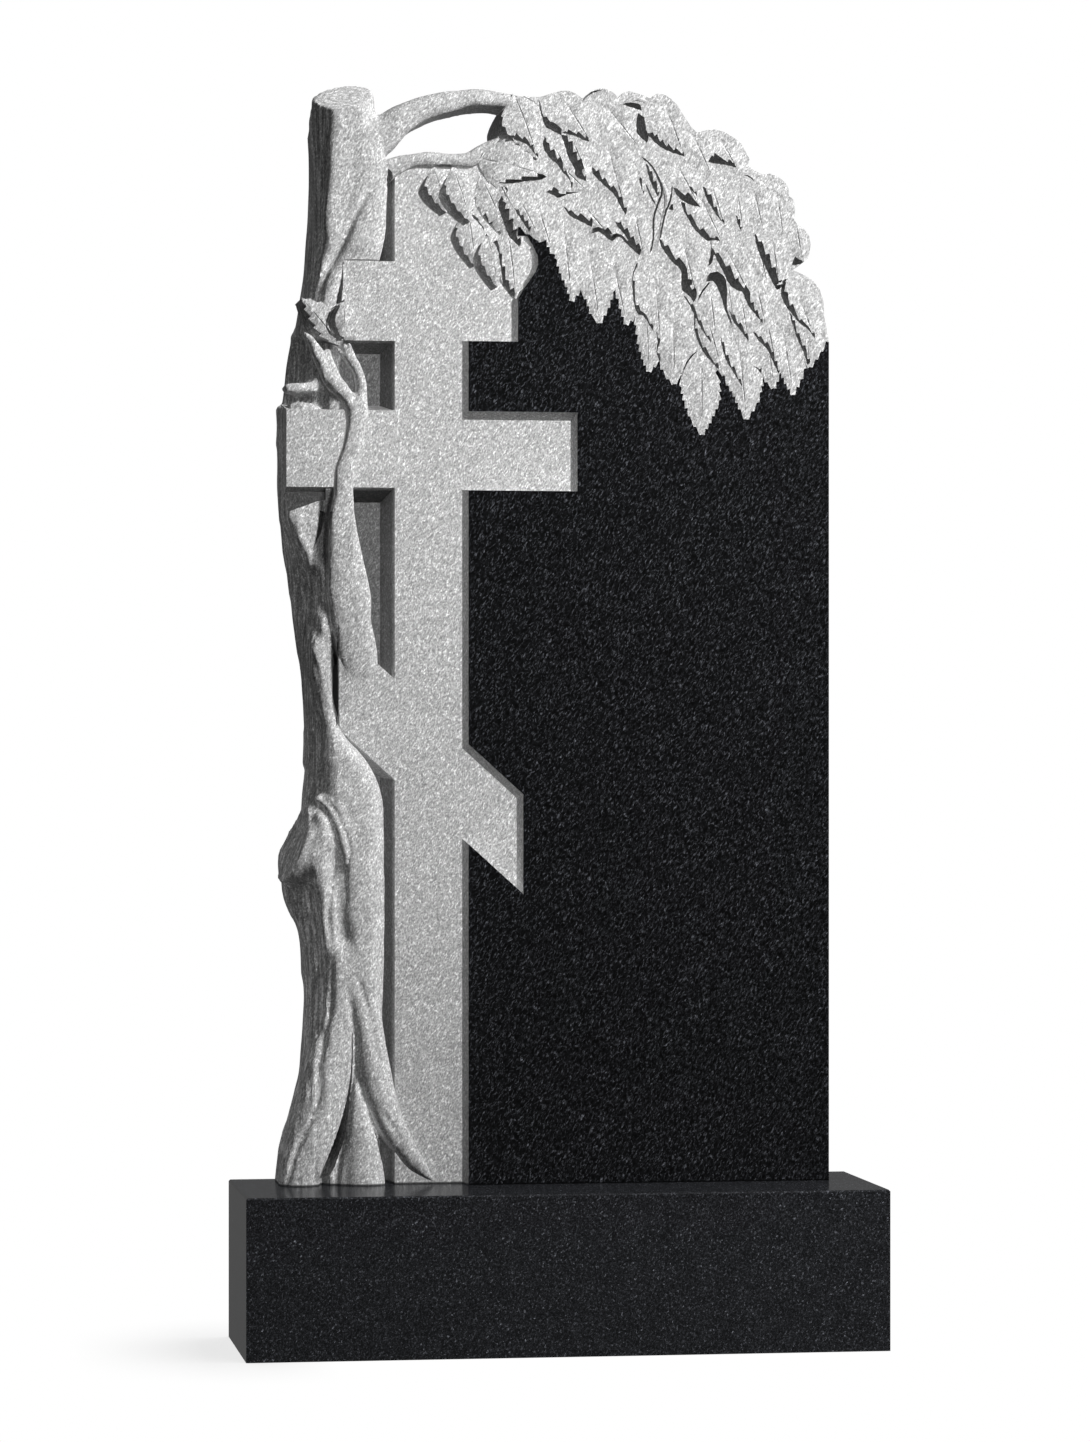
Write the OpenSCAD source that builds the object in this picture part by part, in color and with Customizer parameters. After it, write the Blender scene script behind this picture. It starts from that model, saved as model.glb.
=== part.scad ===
/* [Plinth] */
// Width of the plinth
plinth_w = 600; // [580:5:700]
// Depth of the plinth, front to back
plinth_d = 200; // [190:5:240]
// Height of the plinth
plinth_h = 150; // [100:5:200]
// Small chamfer along the plinth's upper edges
plinth_arris = 1.5; // [1:0.5:4]

/* [Stele] */
// Thickness of the stele
stele_t = 80; // [75:1:90]
// Ledge in front of the stele, from the plinth's front to the polished panel
ledge = 105; // [90:1:108]
// Right-hand edge of the stele, from the middle of the plinth
panel_edge = 264; // [255:1:270]
// Height at which the panel's straight right-hand edge ends
panel_shoulder = 792; // [770:1:800]
// How far the carved leaves and wood stand proud of the polished panel
proud = 3; // [2:0.5:4]
// Depth of the flat cross floor below the polished panel
pocket_depth = 22; // [15:1:28]
// Thickness of the web left at the back of the deep hollows
web_t = 8; // [6:1:14]

/* [Cross] */
// Left-hand edge of the upright
post_x = -149; // [-155:1:-145]
// Width of the upright
post_w = 64; // [60:1:68]
// Height of the horizontal bars
bar_h = 75; // [70:1:80]
// Lower edge of the main bar, above the stele's foot
main_z = 653; // [645:1:660]
// Left-hand end of the main bar
main_x0 = -251; // [-254:1:-248]
// Right-hand end of the main bar
main_x1 = 19; // [10:1:30]
// Lower edge of the upper bar
upper_z = 795; // [790:1:800]
// Right-hand end of the upper bar
upper_x1 = -38; // [-45:1:-30]
// Left-hand end of the upper bar
upper_x0 = -197; // [-200:1:-190]
// Slope of the foot bar, in degrees
foot_slope = 42; // [38:1:45]
// Height of the foot bar, measured straight up
foot_h = 95; // [85:1:100]
// Lower edge of the foot bar where it leaves the upright on the right
foot_z = 323; // [315:1:330]
// Left-hand end of the foot bar
foot_x0 = -202; // [-205:1:-195]
// Right-hand end of the foot bar
foot_x1 = -32; // [-36:1:-28]
// How far the pocket opens out at its sides, from floor to front
draft_side = 3; // [2:0.5:5]
// How far the pocket opens out above each arm
draft_top = 6; // [4:0.5:8]

/* [Tree] */
// Radius of the sawn top of the trunk
top_r = 30; // [26:1:32]
// Height of the middle of the sawn top of the trunk
top_z = 1026; // [1015:1:1030]
// How steeply the sawn top slopes down to the front
top_tilt = 26; // [14:1:30]
// Depth of the branches, front to back
branch_t = 62; // [50:1:70]
// Thickness of the root over the upright, at its thick end
root_r = 17; // [14:1:19]

/* [Leaves] */
// Depth at which a leaf's base is set below the polished panel
leaf_root = 6; // [4:1:9]
// Depth of the ground between the leaves below the polished panel
ground = 12; // [9:1:16]
// Number of outline steps along each side of a leaf
leaf_steps = 6; // [5:1:8]

/* [Hidden] */
front = -plinth_d / 2 + ledge;       // y of the polished panel
foot_k = tan(foot_slope);
post_x1 = post_x + post_w;
deep = stele_t - web_t;

// A flat outline in x and height, as a slab between two depths behind the panel
module slab(y0, y1, pts) {
  translate([0, y1, 0]) rotate([90, 0, 0]) linear_extrude(height = y1 - y0) polygon(pts);
}
// A slab whose walls open out towards the front: floor outline f at y1, front outline g at y0
module drafted(y0, y1, f, g) {
  hull() {
    slab(y1 - 0.02, y1, f);
    slab(y0, y0 + 0.02, g);
  }
}
function rect(x0, x1, z0, z1) = [[x0, z0], [x1, z0], [x1, z1], [x0, z1]];
function foot_bar(x0, x1, lo, hi) = [
  [x0, foot_z + (post_x1 - x0) * foot_k - lo], [x1, foot_z + (post_x1 - x1) * foot_k - lo],
  [x1, foot_z + foot_h + (post_x1 - x1) * foot_k - hi], [x0, foot_z + foot_h + (post_x1 - x0) * foot_k - hi]];

// The cross as a flat slab behind its floor
module cross_slab() {
  slab(pocket_depth, stele_t, rect(post_x, post_x1 + 1, 0, 962));
  slab(pocket_depth, stele_t, rect(main_x0, post_x + 1, main_z, main_z + bar_h));
  slab(pocket_depth, stele_t, rect(upper_x0, post_x + 1, upper_z, upper_z + bar_h));
  slab(pocket_depth, stele_t, foot_bar(foot_x0, post_x + 1, 0, 0));
}
// What is cut out of the polished panel to leave the cross sunk in it
module cross_pocket() {
  e = 0.5;
  drafted(-e, pocket_depth, rect(post_x - 60, post_x1, -5, 962), rect(post_x - 60, post_x1 + draft_side, -5, 990));
  drafted(-e, pocket_depth, rect(post_x, upper_x1, upper_z, 960), rect(post_x, upper_x1 + draft_side, upper_z - 1, 990));
  drafted(-e, pocket_depth, rect(post_x, main_x1, main_z + 1, main_z + bar_h - draft_top),
    rect(post_x, main_x1 + draft_side, main_z, main_z + bar_h));
  drafted(-e, pocket_depth, foot_bar(post_x, foot_x1, 0, draft_top + 3), foot_bar(post_x, foot_x1 + draft_side, 1, -1));
}

// Crown of the stele: a rounded shoulder from the right-hand edge to the top
crown_n = 2.8;
function crown(rx, rz, steps) = [for (i = [0:steps]) let (a = 90 * i / steps)
  [8 + rx * pow(cos(a), 2 / crown_n), panel_shoulder - 20 + rz * pow(sin(a), 2 / crown_n)]];
module panel() {
  difference() {
    slab(0, stele_t, concat([[post_x1 - 2, 0], [panel_edge, 0]],
      [for (p = crown(panel_edge - 8, 236, 14)) p], [[-38, panel_shoulder + 216], [-47, 985], [-62, 976], [post_x1 - 2, 968]]));
    cross_pocket();
    slab(-1, ground, concat([[-60, 1060], [-47, 966], [-24, 916]], crown_edge, [[300, 850], [300, 1060]]));
  }
}
// Lower limit of the ground between the leaves
crown_edge = [[8, 898], [60, 892], [92, 850], [110, 806], [150, 786], [190, 782], [232, 800], [258, 832]];

// Smooth run of stations through the given ones, k steps to each
function spline(p, i, t) = let (a = p[max(i - 1, 0)], b = p[i], c = p[i + 1], d = p[min(i + 2, len(p) - 1)])
  0.5 * (2 * b + (c - a) * t + (2 * a - 5 * b + 4 * c - d) * t * t + (3 * b - a - 3 * c + d) * t * t * t);
function smooth(p, k) = concat([for (i = [0:len(p) - 2]) for (j = [0:k - 1]) spline(p, i, j / k)], [p[len(p) - 1]]);
// A limb along stations [x, height, half width, depth of its front]: rounded in front, straight sides to the flat back
module limb(p, back, k = 2, n = 8) {
  q = smooth(p, k);
  m = n + 3;
  last = len(q) - 1;
  pts = [for (i = [0:last]) let (t = q[min(i + 1, last)] - q[max(i - 1, 0)], l = norm([t[0], t[1]]),
      nx = t[1] / l, nz = -t[0] / l, w = q[i][2], d = w * 0.7)
    for (c = concat([for (j = [0:n]) let (a = 180 - 180 * j / n) [w * cos(a), q[i][3] + d * (1 - sin(a))]],
        [[w * 0.97, back], [-w * 0.97, back]]))
      [q[i][0] + nx * c[0], c[1], q[i][1] + nz * c[0]]];
  faces = concat(
    [for (i = [0:last - 1]) for (j = [0:m - 1]) let (h = (j + 1) % m) [i * m + j, (i + 1) * m + j, (i + 1) * m + h, i * m + h]],
    [[for (j = [0:m - 1]) j]], [[for (j = [m - 1:-1:0]) last * m + j]]);
  polyhedron(points = pts, faces = faces);
}
module trunk() {
  // main stem, behind the ends of the bars
  limb([[-208, -6, 44, 16], [-208, 45, 39, 14], [-196, 115, 37, 11], [-195, 210, 35, 9], [-196, 300, 36, 8], [-196, 360, 36, 9],
    [-205, 398, 27, 11], [-218, 428, 13.5, 14], [-222, 490, 16.5, 12], [-224, 522, 18.5, 11], [-216, 556, 31, 10], [-219, 596, 34, 13], [-223, 640, 33, 22], [-226, 680, 31, 27],
    [-223, 735, 26, 26], [-220, 795, 24, 21], [-200, 868, 29, 11], [-193, 940, 33, 7], [-198, top_z - 22, 30, 6]], stele_t + 1);
  // leader crossing in front of the main bar and widening into the stem
  limb([[-176, 488, 14, 19], [-183, 510, 20, 13], [-194, 545, 19, 4], [-197, 591, 15.5, 2], [-198, 641, 10, 2], [-192, 694, 8, 2],
    [-186, 731, 8.5, 3], [-196, 757, 6, 5], [-212, 774, 5, 9], [-226, 792, 2.5, 14]], 46);
  limb([[-176, 488, 13, 30], [-184, 512, 19, 30], [-194, 545, 18, 30], [-197, 592, 15, 30], [-199, 660, 9, 30]], stele_t + 1);
  // sawn top, sloping up to the right
  hull() {
    translate([-198, top_r + 6, top_z - 44]) cylinder(r = top_r - 0.4, h = 2, $fn = 24);
    translate([-198, top_r + 6, top_z]) rotate([-top_tilt, -11, 0]) translate([0, 0, -1]) cylinder(r = top_r, h = 1, $fn = 24);
    translate([-227, stele_t - 3, top_z - 43]) cube([58, 4, 36]);
  }
  // side branch, sawn off
  hull() {
    translate([-247, 42, 320]) rotate([0, -72, 0]) scale([1, 0.72, 1]) cylinder(r = 33, h = 4, center = true, $fn = 24);
    translate([-212, 44, 258]) scale([0.5, 0.8, 1]) sphere(r = 34, $fn = 20);
    translate([-214, 46, 352]) sphere(r = 12, $fn = 16);
  }
  // broken twig and knot above the main bar
  limb([[-180, 738, 7, 5], [-181, 770, 5, 5], [-190, 792, 3, 7]], 22);
  hull() {
    translate([-247, 36, 753]) sphere(r = 5, $fn = 12);
    translate([-227, 31, 752]) sphere(r = 7, $fn = 12);
  }
  hull() {
    translate([-240, 38, 731]) sphere(r = 5, $fn = 12);
    translate([-222, 34, 735]) sphere(r = 6, $fn = 12);
  }
}
// Roots: x, height, half width and depth of the front
module roots() {
  limb([[-204, 232, 14, 30], [-211, 160, 22, 17], [-222, 92, 26, 12], [-230, 36, 27, 9], [-233, -8, 26, 8]], stele_t + 1);
  limb([[-196, 200, 10, 26], [-190, 132, 18, 13], [-183, 62, 21, 8], [-179, -8, 22, 7]], stele_t + 1);
  limb([[-182, 260, 9, 24], [-176, 186, root_r - 2, 10], [-164, 92, root_r - 2, 6], [-146, 43, 10.5, 5], [-119, 9, 2.5, 12]], 38);
}
// Branches arching to the right from the top of the trunk
module branches() {
  limb([[-186, 962, 26, 8], [-166, 985, 19, 6], [-141, 1003.5, 12.5, 5], [-116, 1015.5, 10.5, 5], [-91, 1022, 9, 5], [-55, 1024, 8, 5], [-28, 1020, 9, 5]], branch_t);
  limb([[-186, 936, 18, 10], [-158, 953, 9, 6], [-130, 963, 8, 5], [-104, 964, 8, 5], [-82, 965, 9, 5], [-62, 974, 9, 5], [-40, 983, 9, 5]], branch_t + 2);
}
// Twigs hanging among the leaves: x, height, radius
module twig(p, y) {
  for (i = [0:len(p) - 2]) hull() for (q = [p[i], p[i + 1]]) translate([q[0], y, q[1]]) sphere(r = q[2], $fn = 10);
}
module twigs() {
  twig([[88, 972, 3], [101, 950, 4], [105, 922, 4], [96, 892, 3]], 4.3);
  twig([[48, 1013, 3], [62, 1022, 4], [84, 1024, 4]], 4.6);
}

// Half width of a birch leaf from base (t = 0) to tip (t = 1), as a share of its width
function leaf_half(t) = 0.5 * pow(sin(180 * pow(t, 0.62)), 0.8) * (1 - 0.25 * t);
// A leaf: straight sides to depth "back" and a ridged front that is sunk at its base and proud at its tip
module leaf(x, z, tx, tz, w, back) {
  len = norm([tx - x, tz - z]);
  n = leaf_steps;
  side = [for (i = [0:n]) i / n];
  rim = concat([for (i = [0:n]) [side[i] * len, w * leaf_half(side[i])]],
               [for (i = [n - 1:-1:1]) [side[i] * len, -w * leaf_half(side[i])]]);
  m = len(rim);
  pts = concat([for (p = rim) [p[0], leaf_root - (leaf_root + 0.6) * pow(p[0] / len, 0.6), p[1]]],
               [for (p = rim) [p[0], back, p[1]]],
               [[len * 0.5, 0.1 - proud, 0]]);
  faces = concat([for (i = [0:m - 1]) [i, (i + 1) % m, 2 * m]],
                 [for (i = [0:m - 1]) [(i + 1) % m, i, m + i, m + (i + 1) % m]],
                 [[for (i = [m - 1:-1:0]) m + i]]);
  translate([x, 0, z]) rotate([0, -atan2(tz - z, tx - x), 0]) polyhedron(points = pts, faces = faces);
}
// Leaves in the crown: base x and height, tip x and height, width
crown_leaves = [
  [-42, 1024, -15, 974, 38], [-10, 1024, 35, 990, 42], [32, 1028, 80, 990, 42], [92, 1022, 125, 975, 46],
  [118, 1000, 145, 960, 42], [144, 990, 175, 962, 42], [190, 954, 226, 898, 48], [222, 914, 238, 874, 34],
  [226, 856, 252, 798, 44], [-62, 964, -8, 956, 40], [-5, 940, 17, 886, 44], [14, 925, 44, 865, 46],
  [48, 912, 70, 863, 44], [97, 895, 103, 815, 52], [88, 842, 91, 772, 30], [112, 855, 115, 757, 44],
  [140, 812, 142, 712, 40], [137, 862, 163, 770, 38], [172, 830, 185, 724, 44], [200, 820, 211, 754, 32],
  [210, 840, 229, 750, 42], [232, 852, 246, 776, 40], [154, 925, 188, 844, 46], [112, 925, 138, 846, 46],
  [192, 910, 217, 858, 42], [70, 930, 84, 872, 40], [45, 985, 70, 925, 50], [10, 980, 33, 955, 34],
  [140, 952, 164, 900, 42], [108, 960, 140, 938, 38], [172, 880, 205, 850, 40], [60, 1000, 100, 975, 44]];
// Small leaves over the upright and the upper bar
low_leaves = [[-118, 960, -103, 918, 27], [-104, 962, -82, 908, 28], [-80, 916, -76, 868, 28], [-66, 950, -44, 890, 30],
  [-63, 893, -55, 848, 25], [-46, 938, -30, 886, 26], [-44, 898, -37, 836, 36], [-40, 945, -12, 890, 34], [-22, 935, 0, 878, 38]];
// Leaves by the trunk
trunk_leaves = [[-216, 832, -211, 788, 30], [-201, 834, -202, 790, 20]];

module leaves() {
  for (l = crown_leaves) leaf(l[0], l[1], l[2], l[3], l[4], stele_t);
  for (l = low_leaves) leaf(l[0], l[1], l[2], l[3], l[4], pocket_depth + 2);
  for (l = trunk_leaves) leaf(l[0], l[1], l[2], l[3], l[4], 40);
}
// Web at the back of the hollows between the trunk and the upright
module web() {
  slab(deep, stele_t, rect(-212, post_x + 1, 0, 952));
}

module stele() {
  color([0.30, 0.30, 0.31]) translate([0, front, plinth_h]) intersection() {
    union() {
      cross_slab();
      panel();
      trunk();
      roots();
      branches();
      twigs();
      leaves();
      web();
    }
    translate([-400, -proud, 0]) cube([800, stele_t + proud, 1200]);
  }
}
module plinth() {
  c = plinth_arris;
  color([0.07, 0.07, 0.08]) difference() {
    translate([-plinth_w / 2, -plinth_d / 2, 0]) cube([plinth_w, plinth_d, plinth_h]);
    for (s = [-1, 1]) {
      translate([0, s * plinth_d / 2, plinth_h]) rotate([45, 0, 0]) cube([plinth_w + 2, c * sqrt(2), c * sqrt(2)], center = true);
      translate([s * plinth_w / 2, 0, plinth_h]) rotate([0, 45, 0]) cube([c * sqrt(2), plinth_d + 2, c * sqrt(2)], center = true);
    }
  }
}
stele();
plinth();
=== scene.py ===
import bpy
import math
import numpy as np
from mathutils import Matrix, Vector


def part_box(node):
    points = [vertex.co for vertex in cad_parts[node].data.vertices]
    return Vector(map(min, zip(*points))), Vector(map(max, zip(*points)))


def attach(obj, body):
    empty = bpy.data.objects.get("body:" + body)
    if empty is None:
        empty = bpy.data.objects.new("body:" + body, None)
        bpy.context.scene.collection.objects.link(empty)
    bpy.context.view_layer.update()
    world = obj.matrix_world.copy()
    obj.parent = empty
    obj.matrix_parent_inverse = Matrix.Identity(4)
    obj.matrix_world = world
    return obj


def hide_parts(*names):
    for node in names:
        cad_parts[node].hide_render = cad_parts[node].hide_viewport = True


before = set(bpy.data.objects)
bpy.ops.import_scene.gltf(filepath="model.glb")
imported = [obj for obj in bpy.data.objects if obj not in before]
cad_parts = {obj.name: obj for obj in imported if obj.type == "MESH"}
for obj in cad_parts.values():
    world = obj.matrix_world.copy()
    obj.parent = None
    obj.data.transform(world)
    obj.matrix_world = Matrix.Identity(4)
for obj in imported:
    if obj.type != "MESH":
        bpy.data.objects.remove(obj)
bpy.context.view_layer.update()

# ---------------------------------------------------------------- frame of the carving
# Everything on the stele is modelled in millimetres as (x, depth, height): x as in the row frame, depth behind the
# polished face, height above the stele's foot.
lo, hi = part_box("stele")
plo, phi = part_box("plinth")
FRONT = lo.y + 0.003
FOOT = phi.z
THICK = 80.0
DEEP = 72.0
EDGE = 264.0
QUICK = False
scene = bpy.context.scene
TEMP = [bpy.data.materials.new("front"), bpy.data.materials.new("recess")]


def to_world(co):
    out = np.empty_like(co)
    out[:, 0] = co[:, 0] * 0.001
    out[:, 1] = FRONT + co[:, 1] * 0.001
    out[:, 2] = FOOT + co[:, 2] * 0.001
    return out


def make(name, verts, faces):
    me = bpy.data.meshes.new(name)
    me.from_pydata([tuple(map(float, v)) for v in verts], [], [tuple(map(int, f)) for f in faces])
    me.update()
    ob = bpy.data.objects.new(name, me)
    scene.collection.objects.link(ob)
    return ob


def evaluated(ob):
    dg = bpy.context.evaluated_depsgraph_get()
    dg.update()
    return bpy.data.meshes.new_from_object(ob.evaluated_get(dg))


def drop(ob):
    me = ob.data
    bpy.data.objects.remove(ob)
    if me.users == 0:
        bpy.data.meshes.remove(me)


def slots(ob):
    while len(ob.data.materials) < 2:
        ob.data.materials.append(TEMP[len(ob.data.materials)])


def combine(ob, steps):
    """Runs booleans in order on ob: steps is a list of (operation, object). The operands are removed."""
    slots(ob)
    for op, other in steps:
        slots(other)
        m = ob.modifiers.new("b", "BOOLEAN")
        m.operation = op
        m.solver = "MANIFOLD"
        m.object = other
    me = evaluated(ob)
    ob.modifiers.clear()
    old = ob.data
    ob.data = me
    bpy.data.meshes.remove(old)
    for _, other in steps:
        drop(other)
    return ob


# ---------------------------------------------------------------- flat work: prisms and drafted cutters
def prism(name, pts, d0, d1):
    """A flat outline (x, height), anticlockwise, between two depths."""
    return drafted(name, pts, pts, d0, d1)


def drafted(name, front, back, d0, d1):
    """A solid between two outlines with as many points each: front at depth d0, back at depth d1."""
    n = len(front)
    verts = [(x, d0, z) for x, z in front] + [(x, d1, z) for x, z in back]
    faces = [tuple(range(n)), tuple(range(2 * n - 1, n - 1, -1))]
    faces += [(i, n + i, n + (i + 1) % n, (i + 1) % n) for i in range(n)]
    return make(name, verts, faces)


def rect(x0, x1, z0, z1):
    return [(x0, z0), (x1, z0), (x1, z1), (x0, z1)]


POST0, POST1 = -149.0, -85.0
POCKET = 22.0
MAIN_Z0, MAIN_Z1 = 653.0, 729.0
UP_Z0, UP_Z1 = 795.0, 870.0
KF = 0.905


def foot_z(x, up):
    return 323.0 + (POST1 - x) * KF + up


def foot_bar(x0, x1, lo_, hi_):
    return [(x0, foot_z(x0, lo_)), (x1, foot_z(x1, lo_)), (x1, foot_z(x1, hi_)), (x0, foot_z(x0, hi_))]


def cross_solid():
    dr = 9.7
    parts = [
        prism("post", rect(POST0, POST1 + 2, 0, 958), POCKET, THICK),
        drafted("post_side", [(POST0, 0), (POST0 + 10, 0), (POST0 + 10, 958), (POST0, 958)],
                [(POST0 - dr, 0), (POST0 + 10, 0), (POST0 + 10, 958), (POST0 - dr, 958)], POCKET, THICK),
        drafted("main", rect(-251.4, POST0 + 3, MAIN_Z0 + 3.6, MAIN_Z1), rect(-251.4, POST0 + 3, MAIN_Z0 - dr, MAIN_Z1 + dr), POCKET, THICK),
        drafted("upper", rect(-197, POST0 + 3, UP_Z0, UP_Z1), rect(-199, POST0 + 3, UP_Z0 - dr, UP_Z1 + 3), POCKET, THICK),
        drafted("foot", foot_bar(-202.5, POST0 + 3, 0, 95), foot_bar(-202.5, POST0 + 3, -6, 101), POCKET, THICK),
        prism("web", rect(-212, POST0 + 2, 0, 952), DEEP, THICK),
    ]
    return combine(parts[0], [("UNION", p) for p in parts[1:]])


# outline of the crown, scalloped by the leaves behind the polished face
CROWN = [
    (265.5, 700), (264.6, 797), (262, 806), (261, 814), (259, 824), (258.5, 836), (255, 847), (248, 856), (239, 861),
    (229, 865.5), (237, 871), (243, 876.5), (245, 882), (246, 890), (244.5, 898), (240, 904), (234, 908), (230, 913),
    (231, 922), (230, 931), (225, 937), (225, 942), (221, 949), (215, 953.5), (207, 956.5), (199, 956), (191, 959.5),
    (185, 964), (187, 970), (183, 977), (179, 984), (171, 990.5), (163, 995), (154, 997.5), (145, 996.5), (136.5, 994),
    (131, 999), (124, 1009), (118, 1019), (112, 1025), (105, 1029.5), (97, 1030), (91, 1025.5), (86, 1028), (79, 1030),
    (71, 1032), (65, 1030), (61, 1025.5), (55, 1031), (49, 1033.5), (43, 1034), (36, 1031.5), (30, 1027), (27, 1024),
    (20, 1028.5), (14, 1031), (7, 1031), (-1, 1029), (-8, 1026.5), (-15, 1024.5), (-25, 1024.5), (-32, 1025.5), (-40, 1027)]


def panel_solid():
    out = [(POST1 - 3, 0), (EDGE, 0), (EDGE, 797)] + [(x - 0.8, z - 0.8) for x, z in CROWN[2:]]
    out += [(-41, 1010), (-50, 996), (-52, 984), (-62, 974), (POST1 - 3, 966)]
    ob = prism("panel", out, 0, THICK)
    e = 0.6
    k = (POCKET + e) / POCKET

    def cut(floor, front):
        # the front outline is carried on to just outside the polished face
        f2 = [(a[0] + (b[0] - a[0]) * k, a[1] + (b[1] - a[1]) * k) for a, b in zip(floor, front)]
        return drafted("cut", f2, floor, -e, POCKET)

    steps = [
        ("DIFFERENCE", cut(rect(POST0 - 60, POST1, -5, 962), rect(POST0 - 60, POST1 + 3.2, -5, 985))),
        ("DIFFERENCE", cut(rect(POST0, -38, UP_Z0 + 0.5, 966), rect(POST0, -34.8, UP_Z0 - 1.2, 985))),
        ("DIFFERENCE", cut([(-60, 832), (-39, 832), (-33, 843), (-26, 852), (-21, 860), (-18.6, 867), (-19, 875), (-24, 885), (-29, 893), (-60, 893)],
                           [(-60, 830), (-36, 832), (-30, 843), (-23.5, 852), (-18, 860), (-15.6, 867), (-16, 875), (-21, 885), (-26, 893.5), (-60, 894)])),
        ("DIFFERENCE", cut(rect(POST0, 18.6, MAIN_Z0 + 2, MAIN_Z1 - 7.6), rect(POST0, 21.8, MAIN_Z0 + 0.4, MAIN_Z1 - 1.2))),
        ("DIFFERENCE", cut(foot_bar(POST0, -33, 2.4, 88), foot_bar(POST0, -29.8, 0.6, 94.5))),
    ]
    return combine(ob, steps)


# ---------------------------------------------------------------- the wood: a signed field on a grid, meshed by surface nets
VOX = 2.0
GX = np.arange(-266.0, -12.0, VOX)
GZ = np.arange(-10.0, 1052.0, VOX)
TOP = (hi.z - FOOT) * 1000 - 0.3
GD = np.arange(-6.0, 88.0, VOX)


def smooth_min(a, b, k):
    h = np.clip(0.5 + 0.5 * (b - a) / k, 0, 1)
    return b + (a - b) * h - k * h * (1 - h)


def smooth_max(a, b, k):
    return -smooth_min(-a, -b, k)


def spline(p, n):
    """Catmull-Rom through the rows of p, n steps to each span."""
    p = np.asarray(p, float)
    out = []
    for i in range(len(p) - 1):
        a, b, c, d = p[max(i - 1, 0)], p[i], p[i + 1], p[min(i + 2, len(p) - 1)]
        for j in range(n):
            t = j / n
            out.append(0.5 * (2 * b + (c - a) * t + (2 * a - 5 * b + 4 * c - d) * t * t + (3 * b - a - 3 * c + d) * t ** 3))
    out.append(p[-1])
    return np.array(out)


def nearest(pts, X, Z):
    """For each (X, Z): distance to the polyline in x and height, signed side and the fractional index of the nearest point."""
    best = np.full(X.shape, 1e9)
    idx = np.zeros(X.shape)
    side = np.zeros(X.shape)
    for i in range(len(pts) - 1):
        ax, az = pts[i][0], pts[i][1]
        bx, bz = pts[i + 1][0] - ax, pts[i + 1][1] - az
        ll = bx * bx + bz * bz + 1e-9
        t = np.clip(((X - ax) * bx + (Z - az) * bz) / ll, 0, 1)
        dx, dz = X - ax - t * bx, Z - az - t * bz
        d2 = dx * dx + dz * dz
        m = d2 < best
        best = np.where(m, d2, best)
        idx = np.where(m, i + t, idx)
        side = np.where(m, np.sign(bx * dz - bz * dx), side)
    return np.sqrt(best), side, idx


class Field:
    def __init__(self):
        self.f = np.full((len(GX), len(GZ), len(GD)), 60.0, np.float32)

    def window(self, x0, x1, z0, z1):
        i = slice(max(0, int((x0 - GX[0]) / VOX)), max(1, int((x1 - GX[0]) / VOX) + 2))
        j = slice(max(0, int((z0 - GZ[0]) / VOX)), max(1, int((z1 - GZ[0]) / VOX) + 2))
        return i, j

    def limb(self, stations, back=90.0, k=6.0, steps=5, h=0.7, p=2.0, lean=0.0):
        """stations: x, height, half width, depth of the front. Rounded in front, straight sides to depth back."""
        q = spline(stations, steps)
        w = q[:, 2].max() + 14
        i, j = self.window(q[:, 0].min() - w, q[:, 0].max() + w, q[:, 1].min() - w, q[:, 1].max() + w)
        X, Z = np.meshgrid(GX[i], GZ[j], indexing="ij")
        dist, side, idx = nearest(q[:, :2], X, Z)
        n = np.arange(len(q))
        W = np.maximum(np.interp(idx, n, q[:, 2]), 0.5)
        F = np.interp(idx, n, q[:, 3])
        D = GD[None, None, :]
        H = W * h
        c = (F + H)[:, :, None]
        up = np.maximum(c - D, 0) / H[:, :, None]
        s = (dist / W)[:, :, None]
        if lean:
            s = s + lean * (side[:, :, None]) * up
        if p == 2.0:
            v = (np.sqrt(s * s + up * up) - 1) * W[:, :, None]
        else:
            v = ((s ** p + up ** p) ** (1 / p) - 1) * W[:, :, None]
        v = np.maximum(v, D - back)
        self.add(v, i, j, k)

    def add(self, v, i, j, k):
        a = self.f[i, j]
        self.f[i, j] = smooth_min(a, v.astype(np.float32), k) if k > 0 else np.minimum(a, v)

    def carve(self, pts, width, depth, steps=4, reach=40.0, front=None, taper=True):
        """A groove (depth > 0) or ridge (depth < 0) along a line on the front."""
        q = spline(pts, steps)
        w = width * 3 + 2
        i, j = self.window(q[:, 0].min() - w, q[:, 0].max() + w, q[:, 1].min() - w, q[:, 1].max() + w)
        X, Z = np.meshgrid(GX[i], GZ[j], indexing="ij")
        dist, side, idx = nearest(q[:, :2], X, Z)
        g = np.exp(-(dist / width) ** 2)
        if taper:
            t = idx / (len(q) - 1)
            g = g * np.clip(np.minimum(t, 1 - t) * 6 + 0.15, 0, 1)
        fade = np.clip(1 - (GD - 2) / reach, 0, 1)
        self.f[i, j] += (depth * g[:, :, None] * fade[None, None, :]).astype(np.float32)


def table(rows, col, z):
    r = np.array(rows, float)
    o = np.argsort(r[:, 0])
    return np.interp(z, r[o, 0], r[o, col])


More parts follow.
